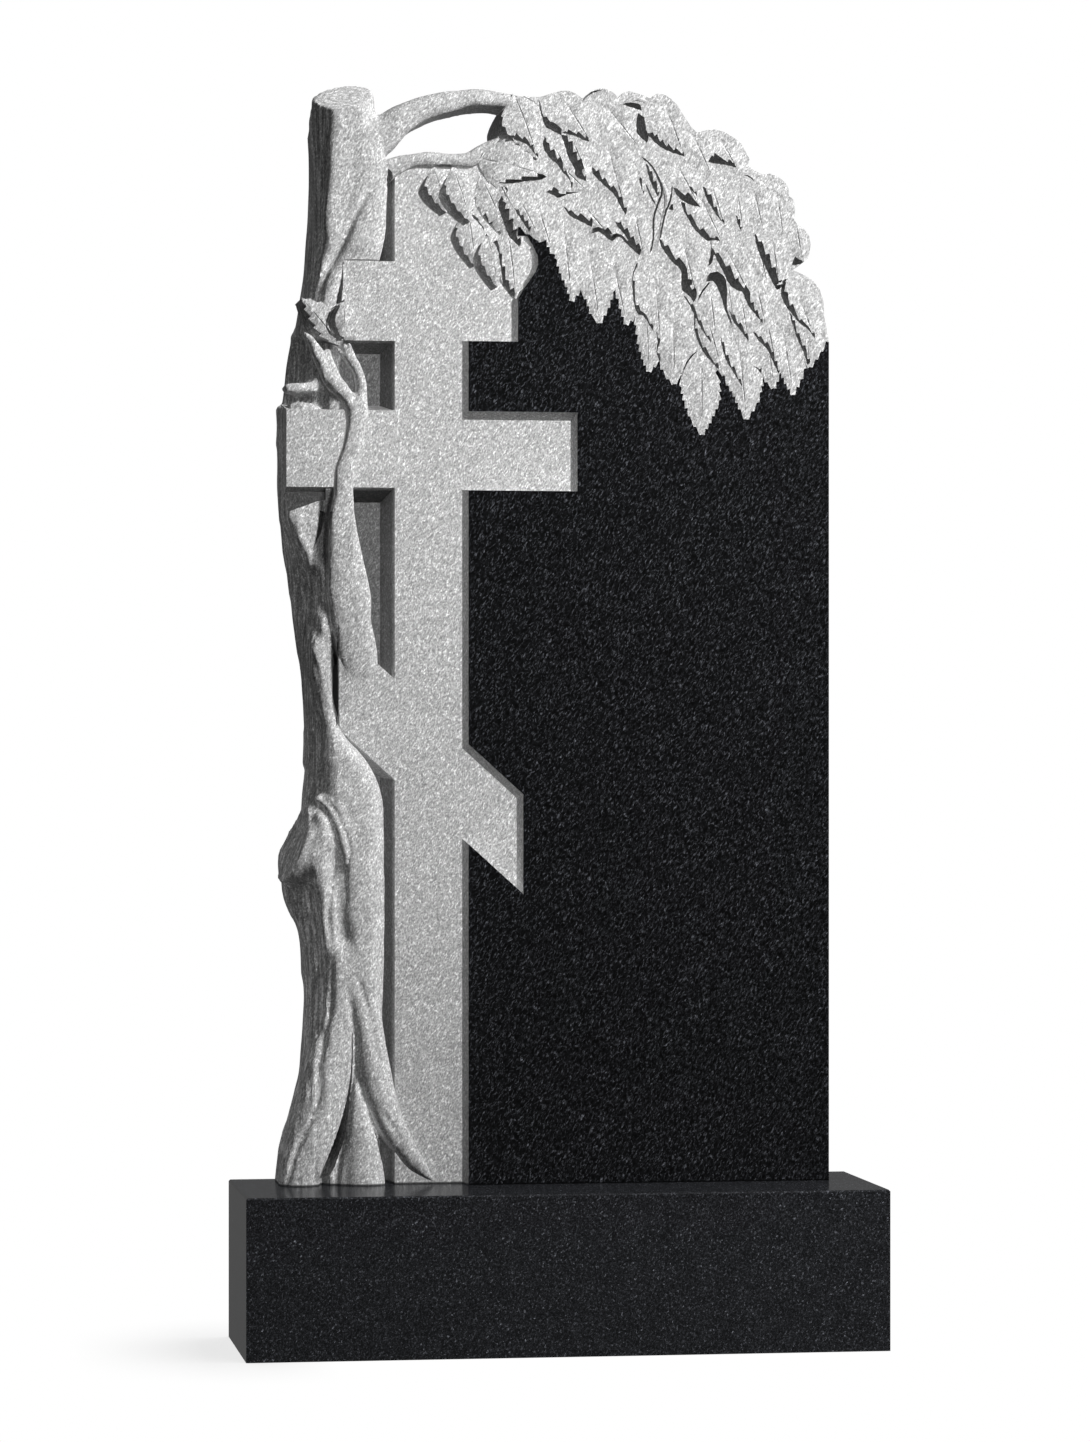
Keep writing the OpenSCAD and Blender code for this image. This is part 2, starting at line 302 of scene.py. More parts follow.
def faceted(field, rows, z0, z1, g=34.0, a=12.0, b=16.0, k=7.0, join=6.0, cap=None):
    """A stem with a flat front, a broad slanted side on the left and a narrow one on the right.
    rows: height, left outline, left edge of the front, right outline, depth of the front."""
    r = spline(sorted(rows), 6)
    i, j = field.window(r[:, 1].min() - 10, r[:, 3].max() + 10, z0 - 8, z1 + 8)
    X, Z, D = GX[i][:, None, None], GZ[j][None, :, None], GD[None, None, :]
    zz = np.clip(Z, z0, z1)
    L, E, R, F = (np.interp(zz, r[:, 0], r[:, c]) for c in (1, 2, 3, 4))
    hyp = np.sqrt(g * g + (E - L) ** 2)
    p1 = F - D
    p2 = ((E - X) * g - (D - F) * (E - L)) / hyp
    p3 = L - X
    p4 = ((X - (R - a)) * b - (D - F) * a) / math.hypot(a, b)
    p5 = X - R
    v = smooth_max(p1, p2, k)
    v = smooth_max(v, p4, k)
    v = smooth_max(v, p3, k)
    v = smooth_max(v, p5, 3.0)
    v = smooth_max(v, np.maximum(z0 - Z, Z - z1), 4.0)
    if cap is not None:
        v = smooth_max(v, cap(X, Z, D), 1.2)
    field.add(v, i, j, join)


def surface_nets(F, ox, oy, oz, h):
    """Closed surface of F < 0 on a regular grid, as vertices and quads."""
    ins = F < 0
    nx, ny, nz = F.shape
    cshape = (nx - 1, ny - 1, nz - 1)
    acc = np.zeros((int(np.prod(cshape)), 3))
    cnt = np.zeros(int(np.prod(cshape)))
    quads = []
    for ax in range(3):
        sl0 = [slice(None)] * 3
        sl1 = [slice(None)] * 3
        sl0[ax], sl1[ax] = slice(0, -1), slice(1, None)
        a, b = F[tuple(sl0)], F[tuple(sl1)]
        m = ins[tuple(sl0)] != ins[tuple(sl1)]
        idx = np.argwhere(m)
        va, vb = a[m], b[m]
        t = va / (va - vb)
        pos = idx.astype(float)
        pos[:, ax] += t
        u, w = [k for k in range(3) if k != ax]
        ok = (idx[:, u] > 0) & (idx[:, u] < F.shape[u] - 1) & (idx[:, w] > 0) & (idx[:, w] < F.shape[w] - 1)
        idx, pos, inside = idx[ok], pos[ok], (va < 0)[ok]
        cells = []
        for du, dw in ((1, 1), (0, 1), (0, 0), (1, 0)):
            c = idx.copy()
            c[:, u] -= du
            c[:, w] -= dw
            flat = (c[:, 0] * cshape[1] + c[:, 1]) * cshape[2] + c[:, 2]
            for k in range(3):
                acc[:, k] += np.bincount(flat, pos[:, k], minlength=len(cnt))
            cnt += np.bincount(flat, minlength=len(cnt))
            cells.append(flat)
        q = np.stack(cells, 1)
        flip = inside if ax != 1 else ~inside
        q[~flip] = q[~flip][:, ::-1]
        quads.append(q)
    used = np.flatnonzero(cnt)
    remap = np.full(len(cnt), -1)
    remap[used] = np.arange(len(used))
    v = acc[used] / cnt[used][:, None] * h + np.array([ox, oy, oz])
    return v, remap[np.concatenate(quads)]


def unambiguous(F):
    """Fills the grid squares whose inside corners touch only across a diagonal, so that the surface stays a clean skin."""
    for _ in range(12):
        ins = F < 0
        n = 0
        for u, w in ((0, 1), (0, 2), (1, 2)):
            def s(du, dw):
                sl = [slice(None)] * 3
                sl[u] = slice(du, F.shape[u] - 1 + du)
                sl[w] = slice(dw, F.shape[w] - 1 + dw)
                return tuple(sl)
            a, b, c, d = ins[s(0, 0)], ins[s(1, 0)], ins[s(1, 1)], ins[s(0, 1)]
            bad1 = a & c & ~b & ~d
            bad2 = b & d & ~a & ~c
            n += int(bad1.sum() + bad2.sum())
            G = F[s(1, 0)]
            G[bad1] = -0.15
            G = F[s(0, 0)]
            G[bad2] = -0.15
        if n == 0:
            break
    return F


def streaks(seed, n, across, along, X, Z, D):
    """Sum of long, thin waves that run up the stem."""
    r = np.random.default_rng(seed)
    out = np.zeros(np.broadcast(X, Z, D).shape, np.float32)
    for _ in range(n):
        kx = 2 * math.pi / r.uniform(*across) * r.choice([-1, 1])
        kd = 2 * math.pi / r.uniform(across[0] * 1.3, across[1] * 1.6) * r.choice([-1, 1])
        kz = 2 * math.pi / r.uniform(*along) * r.choice([-1, 1])
        ph = r.uniform(0, 2 * math.pi)
        out += np.sin(kx * X + kz * Z + kd * D + ph).astype(np.float32)
    return out / math.sqrt(n)


def wood():
    f = Field()

    # main stem below the foot bar and behind the roots
    def top_cut(X, Z, D):
        plane = 1008.5 + 0.20 * (X + 213) + 0.495 * (D - 6)
        return (Z - plane) * 0.9

    # upper stem, with its sawn top
    faceted(f, [(700, -256.5, -212, -198, 26), (740, -252, -210, -197, 25), (775, -247, -208, -197, 23), (800, -242, -208, -198, 19)],
            700, 806, g=56, a=6, b=14, k=5, join=5)
    faceted(f, [(800, -241, -222, -202, 18), (834, -233.5, -222, -206, 14),
                (883, -228.5, -216, -188, 10), (916, -226, -215.5, -176, 8), (952, -225, -212, -160, 7), (985, -225.5, -210, -160, 7),
                (1008, -226.4, -210, -167, 6.5), (1050, -227, -210, -168, 6.5)], 800, 1050, g=30, a=12, b=14, k=6, join=5, cap=top_cut)
    # the sawn top is round at the back
    i, j = f.window(-262, -140, 960, 1052)
    X, Z, D = GX[i][:, None, None], GZ[j][None, :, None], GD[None, None, :]
    rnd = (np.sqrt(((X + 198) / 31.0) ** 2 + (np.maximum(D - 34, 0) / 29.0) ** 2) - 1) * 28.0
    rnd = rnd - np.clip((1016 - Z) / 56.0, 0, 1) * 60
    f.f[i, j] = smooth_max(f.f[i, j], rnd.astype(np.float32), 2.0)

    # lower stem: rear part behind the main bar's left end
    faceted(f, [(395, -230, -211, -178, 11), (421, -229, -211, -196, 11), (456, -231, -220, -205.5, 14), (480, -233, -227, -206, 17),
                (505, -236, -226, -206, 20), (530, -239.5, -216, -206, 22), (555, -243, -213, -207, 25), (575, -246, -222, -208, 27),
                (600, -249.5, -237, -210, 29), (622, -253, -246, -213, 30), (640, -255, -249, -216, 31), (735, -256.5, -248, -222, 32)],
            395, 735, g=40, a=6, b=14, k=6, join=6)
    # lower stem: full width
    faceted(f, [(-20, -231, -206, -166, 14), (40, -231, -206, -168, 13), (100, -233, -212, -164, 12), (137, -231.5, -212, -161, 10.5),
                (174, -230, -209, -160, 9.5), (212, -230.5, -209, -159, 9), (268, -236, -210, -158.5, 8), (315, -235, -209, -159, 8),
                (362, -231.5, -209, -160.5, 8), (389, -229, -210, -170, 9), (406, -228.5, -211, -181, 10), (427, -228.5, -211, -203, 11)],
            -20, 427, g=32, a=11, b=13, k=7, join=5)
    # leader: rises from the foot bar's top, crosses in front of the main bar
    f.limb([(-180, 476, 15, 22), (-184, 500, 19, 17), (-191, 528, 19.5, 9), (-193, 555, 19.5, 5), (-197, 590, 16, 2.5), (-200, 624, 12, 1),
            (-199, 652, 8.6, 1), (-197, 672, 9, 1), (-191, 693, 8, 1), (-187, 712, 8, 1), (-185.5, 728, 8.5, 1.5)], back=60, k=3, h=0.42, p=2.6)
    f.limb([(-182, 478, 15, 30), (-188, 512, 22, 26), (-198, 555, 22, 20), (-205, 600, 18, 22), (-206, 650, 16, 26)], back=90, k=5)
    # two forks above the bar
    f.limb([(-187, 722, 8, 2), (-192, 736, 7, 1.5), (-201, 748, 7.5, 1), (-212, 758, 7, 1), (-217, 768, 5.5, 1), (-223, 781, 5, 1),
            (-229, 792, 3.6, 2), (-236, 800, 1.4, 4)], back=26, k=3, h=0.8)
    f.limb([(-184, 722, 8, 2), (-183, 740, 6.2, 2), (-183.5, 755, 5.4, 2), (-187, 768, 4.2, 2), (-191, 778, 2.6, 2.5), (-194, 790, 1.3, 4)],
           back=26, k=3, h=0.8)
    f.limb([(-187, 766, 3.4, 3), (-194, 773, 2.6, 3), (-204, 785, 1.5, 5)], back=20, k=2, h=0.8)
    f.limb([(-190, 770, 2.8, 3), (-195, 779, 2.2, 3), (-198.4, 789, 1.3, 5)], back=20, k=2, h=0.8)
    f.limb([(-206, 751, 7, 2.5), (-211, 766, 6.5, 3), (-213.5, 776, 5, 3.5), (-214.3, 782, 4, 4)], back=26, k=2, h=0.7)
    # branch base coming down from the head, becoming the strip behind the curled leaf
    f.limb([(-180, 990, 16, 7), (-176, 962, 15, 5), (-174, 938, 17, 4.5), (-178, 912, 20, 4.5), (-182, 886, 21.5, 5), (-190, 866, 20.0, 9),
            (-206, 846, 10, 9), (-214, 828, 7.5, 9), (-218, 805, 6.5, 12)], back=60, k=3.2, h=0.55, p=2.4)
    f.limb([(-192, 884, 10, 22), (-200, 850, 9, 16), (-208, 815, 8, 18)], back=70, k=3)
    # stem behind the forks, deep in shade
    f.limb([(-206, 712, 14, 36), (-205, 760, 12, 36), (-204, 800, 14, 32), (-202, 850, 18, 26)], back=90, k=5)
    # knots on the left
    f.limb([(-219, 754, 3.2, 42), (-228, 752, 4.4, 35), (-238, 750.5, 4.8, 31), (-248, 750.5, 4.3, 31)], back=60, k=6)
    f.limb([(-226, 727, 8, 27), (-236, 730, 7, 28), (-243, 730, 5, 32)], back=60, k=4)
    # sawn side branch
    i, j = f.window(-268, -180, 220, 372)
    X, Z, D = GX[i][:, None, None], GZ[j][None, :, None], GD[None, None, :]
    ax, az = -214.0, 307.0
    t = np.clip(((X - ax) * (-0.93) + (Z - az) * 0.37), -40, 60)
    # cone that widens towards its sawn face; elliptical, taller than deep
    px = X - (ax - 0.93 * t)
    pz = Z - (az + 0.37 * t)
    lat = np.sqrt((px * 1.0) ** 2 + (pz * 1.0) ** 2)
    rr = 30 + 0.17 * t
    cone = (np.sqrt((lat / rr) ** 2 + ((D - 40) / (rr * 0.86)) ** 2) - 1) * rr * 0.9
    cone = smooth_min(cone, np.maximum((lat / rr - 1) * rr * 0.9, 40 - D), 4.0)
    cone = smooth_max(cone, (np.sqrt((lat / rr) ** 2 + (np.maximum(D - 48, 0) / (rr * 0.9)) ** 2) - 1) * rr * 0.9, 2.0)
    face = (-(X + 238.5) * 0.93 + (Z - 322) * 0.34 - (D - 28) * 0.17)
    cone = smooth_max(cone, face, 1.2)
    f.add(cone, i, j, 7.0)
    # the swelling under it runs back into the trunk
    f.limb([(-226, 300, 26, 34), (-226, 272, 23, 34), (-220, 250, 18.5, 33), (-216, 228, 15, 33), (-214, 200, 14, 32)], back=90, k=8, h=1.0)
    # rim of bark round the sawn face
    f.limb([(-209, 352, 7, 12), (-214, 340, 13, 9), (-217, 318, 15, 8), (-217, 292, 13, 9), (-213, 262, 9, 11), (-208, 225, 6, 14)], back=60, k=7)
    f.limb([(-220, 362, 5, 14), (-207, 352, 6, 8), (-199, 331, 6, 6), (-196, 306, 6, 7), (-195, 268, 5, 9), (-192, 232, 4, 12)], back=60, k=5)

    # roots
    f.limb([(-203, 190, 10, 16), (-205, 150, 14, 9), (-211, 118, 19, 6.5), (-216, 84, 22, 5.5), (-223, 52, 24, 4.5), (-232, 24, 22, 4.5), (-238, 6, 19, 6),
            (-240, -14, 18, 7)], back=90, k=3.5, h=0.8)
    f.limb([(-186, 150, 6, 16), (-187, 104, 7, 12), (-184, 70, 11, 9), (-180, 36, 15.5, 7), (-178.5, 8, 19.5, 6), (-178, -14, 20, 6)], back=90, k=3, h=0.7)
    f.limb([(-180, 215, 9, 14), (-179, 180, 12, 9), (-175, 150, 14, 6.5), (-170, 118, 14.5, 4.5), (-165, 90, 14.5, 3), (-158, 66, 14, 2),
            (-148.5, 46, 12.5, 2), (-138, 31, 10, 3), (-128, 18, 7.5, 5), (-120, 9.5, 4.2, 9), (-114, 4.5, 1.6, 15)], back=40, k=4, h=0.85)
    f.limb([(-171, 120, 12, 20), (-168, 80, 12, 20), (-162, 50, 9, 22)], back=90, k=4)

    # branches arching over to the crown
    f.limb([(-186, 978, 20, 9), (-172, 984, 19, 7), (-158, 992, 16.5, 6), (-146, 1002, 13.8, 5), (-132, 1009.5, 11.8, 5), (-114, 1016.5, 10.8, 5),
            (-95, 1021, 9.4, 5), (-75, 1024, 8.2, 5), (-55, 1023.4, 7.2, 5), (-38, 1020, 7.5, 5), (-20, 1014, 7, 8)], back=62, k=6, h=0.7)
    f.limb([(-184, 934, 16, 10), (-168, 948, 12, 7), (-152, 957.5, 8.6, 6), (-136, 963.5, 6.8, 5), (-114, 965.4, 6.4, 5), (-94, 964.8, 6.4, 5),
            (-80, 965.5, 6.8, 5), (-68, 972.5, 7, 4.5), (-56, 979, 7, 4), (-40, 982, 7, 5)], back=64, k=5, h=0.75)

    # folds, clefts and ridges of the bark: points, width, depth (negative stands out)
    for pts, w, d in [
        ([(-209, 215), (-211, 167), (-216, 140), (-222, 108), (-223, 82), (-232, 57), (-243, 32), (-250, 8), (-252, -8)], 2.2, 6.5),
        ([(-193, 178), (-188.5, 142), (-188.5, 106), (-193, 79), (-197, 54), (-201, 30), (-204, 12), (-206, -8)], 3.0, 9.5),
        ([(-185, 196), (-176, 166), (-169, 134), (-166, 112)], 3.0, 3.0),
        ([(-188, 112), (-182, 86), (-173, 64), (-165, 47), (-152, 29), (-146, 22)], 2.4, 6.5),
        ([(-162, 69), (-152, 54), (-144, 39)], 1.6, 2.0),
        ([(-226, 361), (-217, 351), (-209, 331), (-206, 308), (-210, 282), (-213, 255), (-209, 222)], 2.6, 7.5),
        ([(-210, 318), (-203, 292), (-201.5, 266), (-200, 241), (-196, 222)], 7.5, 12.5),
        ([(-222, 368), (-207, 352), (-197, 331), (-193, 312), (-197, 292), (-195, 262)], 1.7, 4.0),
        ([(-228, 300), (-226, 270), (-222, 236), (-221, 190)], 2.4, 2.6),
        ([(-227, 215), (-227.5, 160), (-229, 118)], 1.9, 2.6),
        ([(-220, 226), (-221, 180), (-221, 122)], 1.9, 3.0),
        ([(-215, 214), (-216, 170), (-219, 128)], 1.7, 2.2),
        ([(-245, 610), (-240, 577), (-235.5, 546), (-233, 520)], 2.4, -3.4),
        ([(-236, 536), (-230, 512), (-221, 488), (-217, 462)], 2.4, -3.4),
        ([(-238, 600), (-236, 574), (-231, 545), (-222, 522), (-212, 505)], 4.2, 8.0),
        ([(-219, 618), (-223, 590), (-223, 565), (-216, 538), (-211, 505), (-208, 480)], 5.0, 6.0),
        ([(-230, 600), (-229, 570), (-226, 550)], 2.0, -2.6),
        ([(-226, 500), (-219, 470), (-214, 440)], 2.4, 2.0),
        ([(-190, 628), (-191, 599), (-190, 572)], 2.4, -1.4),
        ([(-167, 945), (-180, 925), (-190, 906), (-199, 884), (-212, 864), (-218, 849), (-223, 828), (-226, 810)], 3.0, 6.5),
        ([(-203, 868), (-212, 846), (-218, 826)], 2.0, 2.0),
        ([(-196, 864), (-200, 846), (-203, 830)], 3.2, 9.0),
        ([(-188, 745), (-194, 760), (-201, 773), (-206.5, 783)], 3.6, 5.0),
    ]:
        f.carve(pts, w, d)

    # bark: long shallow waves, more of them on the shaded side and in the folds
    X, Z, D = GX[:, None, None], GZ[None, :, None], GD[None, None, :]
    amt = np.interp(GZ, [0, 130, 250, 420, 470, 620, 700, 800, 960, 1040], [0.55, 0.6, 0.45, 0.3, 0.5, 0.55, 0.4, 0.3, 0.3, 0.25])[None, :, None]
    left = np.clip((-196 - X) / 26.0, 0.15, 1.0)
    f.f += (amt * left * streaks(3, 14, (7, 15), (90, 260), X, Z, D)).astype(np.float32)
    f.f += (0.35 * streaks(4, 12, (22, 60), (30, 90), X, Z, D)).astype(np.float32)

    # keep the field closed inside the grid
    g = f.f
    g[0], g[-1], g[:, 0], g[:, -1], g[:, :, 0], g[:, :, -1] = 5, 5, 5, 5, 5, 5
    g = unambiguous(g)
    v, q = surface_nets(g, GX[0], GZ[0], GD[0], VOX)
    ob = make("wood", np.stack([v[:, 0], v[:, 2], v[:, 1]], 1), q[:, ::-1])
    return ob


# ---------------------------------------------------------------- leaves
PULL = (-0.86, -0.51)


def leaf(name, x0, z0, x1, z1, w, d0, d1, moat, back=THICK, left=1.0, right=1.0, teeth=0, dome=1.5, bend=0.0, drop_=14.0, seed=0,
         amp=None, pull=None):
    """A birch leaf from base (x0, z0) to tip (x1, z1). d0 and d1 are the depths of its rim at base and tip. Its wall runs down
    and spreads to the lower left by 'moat' steps, where a slot of the same size is cut first. Returns (leaf, slot)."""
    r = np.random.default_rng(seed)
    pull = pull or PULL
    L = math.hypot(x1 - x0, z1 - z0)
    ux, uz = (x1 - x0) / L, (z1 - z0) / L
    vx, vz = -uz, ux                       # to the left of the way from base to tip
    amp = amp if amp is not None else 1.0 + 0.034 * w
    teeth = teeth or max(4, round(L / 9.5))
    spread = 5.6 * moat

    def half(t):
        t = min(max(t, 0.0), 1.0)
        if t < 0.38:
            return 0.5 * w * math.sin(0.5 * math.pi * t / 0.38) ** 0.85
        return 0.5 * w * (1 - ((t - 0.38) / 0.62) ** 1.55) ** 0.95

    def slot_at(t):
        return min(1.0, max(0.0, (t - 0.12) / 0.25)) * (1 - 0.35 * max(0.0, (t - 0.6) / 0.4))

    phase = {1: r.uniform(0.0, 0.4), -1: r.uniform(0.45, 0.85)}
    rows = {0.0, 0.03, 0.08, 0.16, 0.94, 0.975, 1.0}
    for s in (1, -1):
        for k in range(teeth + 1):
            t = (k + phase[s]) / teeth
            if 0.14 < t < 0.95:
                rows |= {round(t - 0.004, 4), round(t + 0.022, 4)}
            m = t + 0.5 / teeth
            if 0.14 < m < 0.93:
                rows.add(round(m, 4))
    rows = sorted(rows)
    clean = [rows[0]]
    for t in rows[1:]:
        if t - clean[-1] > 0.0035:
            clean.append(t)
    rows = clean
    cols = [-1.0, -0.62, -0.06, 0.0, 0.06, 0.62, 1.0]
    m = len(cols)

    def saw(t, s):
        if t < 0.12 or t > 0.985:
            return 0.0
        fr = (t * teeth - phase[s]) % 1.0
        return amp * (fr * 1.35 - 0.55) * min(1, (t - 0.12) * 9) * min(1.0, (1.0 - t) * 9)

    def centre(t):
        o = bend * math.sin(math.pi * t) * L
        return x0 + ux * L * t + vx * o, z0 + uz * L * t + vz * o

    def ease(t):
        t = min(1.0, t / 0.55)
        return t * t * (3 - 2 * t)

    def place(t, off):
        cx, cz = centre(t)
        return cx + vx * off, cz + vz * off

    def outward(t, s):
        dt = 0.01
        a, b = half(min(t + dt, 0.999)), half(max(t - dt, 0.001))
        k = L * 2 * dt
        g = (a - b) / k
        nx, nz = -g, s
        n = math.hypot(nx, nz)
        nx, nz = nx / n, nz / n
        return ux * nx + vx * nz, uz * nx + vz * nz

    def shifted(t, s, grow, shift):
        hw = max(half(t), 0.6) * (left if s > 0 else right)
        x, z = place(t, s * (hw + grow))
        ox, oz = outward(t, s)
        q = max(0.0, ox * pull[0] + oz * pull[1]) ** 0.6 * slot_at(t)
        return x + pull[0] * shift * q, z + pull[1] * shift * q

    top, ring, base = [], [], []
    nv = 6
    tone = r.uniform(-0.3, 0.3)
    tilt = r.uniform(-0.8, 0.8)
    for t in rows:
        rim = d0 + (d1 - d0) * ease(t)
        h = half(t)
        row = []
        for s in cols:
            side = 1 if s >= 0 else -1
            hw = max(h, 0.6) * (left if side > 0 else right)
            a = abs(s)
            off = s * (hw + (saw(t, side) * (1.0 if a == 1 else a * 0.6)))
            x, z = place(t, off)
            env = min(1.0, t * 5) * min(1.0, (1 - t) * 4)
            d = rim - dome * (1 - a ** 1.6) * env + tilt * s * 0.5 * env
            if a < 0.01:
                d += 0.85 * env
            d += 0.22 * math.sin(2 * math.pi * (t * nv - a * 0.55) + tone * 6) * env * (0.4 + a * (1 - a) * 2.4 if a < 1 else 0.0)
            row.append((x, max(d, -2.95), z))
        top.append(row)
        rr, bb = [], []
        for s in (-1, 1):
            x, z = shifted(t, s, -0.25 * amp, spread)
            rr.append((x, min(rim + drop_, back - 1.0), z))
            bb.append((x, back, z))
        ring.append(rr)
        base.append(bb)
    n = len(rows)
    walls = []
    wall_left = vx * pull[0] + vz * pull[1] < 0
    verts = [p for row in top for p in row] + [p for row in ring for p in row] + [p for row in base for p in row]
    R, B = n * m, n * m + 2 * n
    T = lambda i, j: i * m + j
    faces = []
    for i in range(n - 1):
        for j in range(m - 1):
            faces.append((T(i, j), T(i + 1, j), T(i + 1, j + 1), T(i, j + 1)))
        for (c, k, fl) in ((0, 0, False), (m - 1, 1, True)):
            a, b, c2, d2 = T(i, c), T(i + 1, c), R + 2 * (i + 1) + k, R + 2 * i + k
            quad = (d2, c2, b, a)
            if k == (0 if wall_left else 1):
                walls += [len(faces), len(faces) + 1]
            e2, f2 = B + 2 * (i + 1) + k, B + 2 * i + k
            quad2 = (f2, e2, c2, d2)
            if fl:
                quad, quad2 = quad[::-1], quad2[::-1]
            faces += [quad, quad2]
        faces.append((B + 2 * i, B + 2 * i + 1, B + 2 * i + 3, B + 2 * i + 2))
    for i, fl in ((0, False), (n - 1, True)):
        edge = [T(i, j) for j in range(m)] + [R + 2 * i + 1, B + 2 * i + 1, B + 2 * i, R + 2 * i]
        if fl:
            edge = edge[::-1]
        faces.append(tuple(edge))
    solid = make(name, verts, faces)
    fix_normals(solid)
    # the wall on the side of the pull takes the painted shade
    if moat > 0:
        in_shade(solid, walls)
    slot = None
    if moat > 0:
        ts = [0.0, 0.04, 0.1, 0.2, 0.3, 0.4, 0.5, 0.6, 0.7, 0.8, 0.88, 0.94, 1.0]
        lft = [shifted(t, 1, -0.8, spread + 1.0) for t in ts]
        rgt = [shifted(t, -1, amp * 0.5 if t > 0.15 else -0.5, spread + 1.0) for t in ts]
        out = rgt + lft[::-1]
        floor = min(max(d0, d1) + drop_ + 1.0, back - 2.0)
        slot = prism(name + "_slot", out, -10, floor)
        fix_normals(slot)
    return solid, slot


def fix_normals(ob):
    """Turns a closed mesh's faces outwards, by its signed volume."""
    me = ob.data
    me.calc_loop_triangles()
    vol = 0.0
    vs = [v.co.copy() for v in me.vertices]
    for t in me.loop_triangles:
        a, b, c = (vs[i] for i in t.vertices)
        vol += a.dot(b.cross(c))
    if vol < 0:
        me.flip_normals()


def tube(name, pts, sides=8, squash=1.0):
    """pts: x, height, radius, depth of the axis."""
    q = spline(pts, 4)
    n = len(q)
    verts, faces = [], []
    for i in range(n):
        t = q[min(i + 1, n - 1)] - q[max(i - 1, 0)]
        l = math.hypot(t[0], t[1])
        nx, nz = t[1] / l, -t[0] / l
        for k in range(sides):
            a = 2 * math.pi * k / sides
            c, s = math.cos(a) * q[i][2], math.sin(a) * q[i][2] * squash
            verts.append((q[i][0] + nx * c, q[i][3] + s, q[i][1] + nz * c))
    for i in range(n - 1):
        for k in range(sides):
            h = (k + 1) % sides
            faces.append((i * sides + k, (i + 1) * sides + k, (i + 1) * sides + h, i * sides + h))
    faces.append(tuple(range(sides)))
    faces.append(tuple(range(n * sides - 1, (n - 1) * sides - 1, -1)))
    ob = make(name, verts, faces)
    fix_normals(ob)
    return ob


# Leaves from the lowest to the topmost: base x, height; tip x, height; width; depth of rim at base and tip; slot; options
LEAVES = [
    (-80, 918, -74, 866, 27, 17, 13, 0.8, {}),
    (-62, 897, -53, 846, 22, 15, 11, 1.1, {}),
    (-113, 959, -101, 916, 24, 17, 13, 1.2, {}),
    (-95, 959, -79, 907, 26, 14, 9, 1.3, {}),
    (-69, 951, -42, 890, 29, 11, 7, 1.0, {}),
    (-44, 902, -36, 835, 38, 9, 6, 0.9, {"right": 1.0}),
    (-50, 942, -31, 885, 24, 7, 4, 1.2, {}),
    (-40, 941, -13, 888, 32, 4, -0.8, 0.7, {}),
    (-21, 936, -2, 877, 38, 5, -0.8, 0.0, {}),
    (6, 925, 16, 832, 46, 6, -0.8, 0.0, {}),
    (28, 908, 43, 811, 50, 5, -0.8, 0.0, {}),
    (50, 895, 69, 810, 48, 4, -0.8, 0.0, {}),
    (87, 828, 90, 767, 29, 3, -0.8, 0.0, {}),
    (113, 839, 114, 755, 46, 4, -0.8, 0.0, {}),
    (140, 800, 141, 708, 40, 4, -0.8, 0.0, {}),
    (137, 848, 162, 763, 37, 5, -0.8, 0.35, {}),
    (174, 816, 184, 721, 44, 4, -0.8, 0.25, {}),
    (202, 808, 211, 752, 30, 4, -0.8, 0.3, {}),
    (201, 829, 214, 766, 30, 4, -0.5, 0.4, {}),
    (216, 826, 229, 746, 44, 4, -0.8, 0.4, {}),
    (238, 842, 245, 772, 40, 4, -0.8, 0.5, {"left": 1.5}),
    (94, 878, 101, 793, 54, 3, -0.8, 0.35, {}),
    (-13, 976, 34, 934, 44, 8, 3, 0.7, {}),
    (-5, 988, 16, 944, 25, 9, 3, 1.1, {}),
    (13, 994, 32, 947, 31, 8, 2, 1.2, {}),
    (44, 1003, 68, 915, 54, 7, 0, 1.1, {}),
    (18, 934, 56, 890, 42, 6, 0, 1.2, {}),
    (73, 930, 86, 872, 40, 5, 0, 1.0, {}),
    (147, 859, 155, 792, 37, 6, 1, 0.5, {}),
    (164, 865, 172, 810, 26, 7, 2, 1.0, {}),
    (176, 852, 186, 796, 33, 6, 1, 0.9, {}),
    (191, 860, 203, 808, 40, 6, 0.5, 1.0, {}),
    (216, 864, 231, 799, 44, 6, 0.5, 0.9, {}),
    (227, 859, 251, 797, 50, 5, -0.5, 0.9, {}),
    (117, 914, 136, 836, 48, 6, 0, 1.4, {}),
    (157, 899, 188, 838, 46, 6, 0, 1.2, {}),
    (191, 908, 205, 846, 34, 7, 2, 0.6, {}),
    (206, 913, 216, 845, 40, 5, -0.5, 1.3, {}),
    (131, 950, 161, 889, 44, 7, 1, 1.0, {}),
    (173, 949, 181, 899, 38, 6, 1, 0.8, {}),
    (146, 958, 164, 900, 38, 6, 0.5, 1.0, {}),
    (187, 956, 201, 898, 42, 6, 1, 0.7, {}),
    (110, 976, 140, 921, 38, 7, 1, 1.1, {}),
    (210, 957, 220, 894, 44, 5, 0, 0.6, {}),
    (230, 919, 238, 873, 34, 6, 1, 1.0, {}),
    (125, 1007, 151, 952, 42, 7, 1, 0.8, {}),
    (152, 999, 176, 958, 44, 5, 0, 1.1, {}),
    (37, 1032, 82, 977, 50, 8, 3, 0.6, {}),
    (-38, 1028, -16, 966, 40, 5, -0.5, 1.2, {}),
    (2, 1032, 35, 982, 44, 5, -0.5, 1.2, {}),
    (100, 1033, 124, 971, 44, 4, -0.8, 1.4, {}),
    (-73, 967, -7, 951, 45, 6, 0, 0.8, {"pull": (0.1, -1.0)}),
]
# the leaves over the upright and the branches' ends, whose slots also cut the wood
OVER_WOOD = {2, 3, 4, 48, 51}


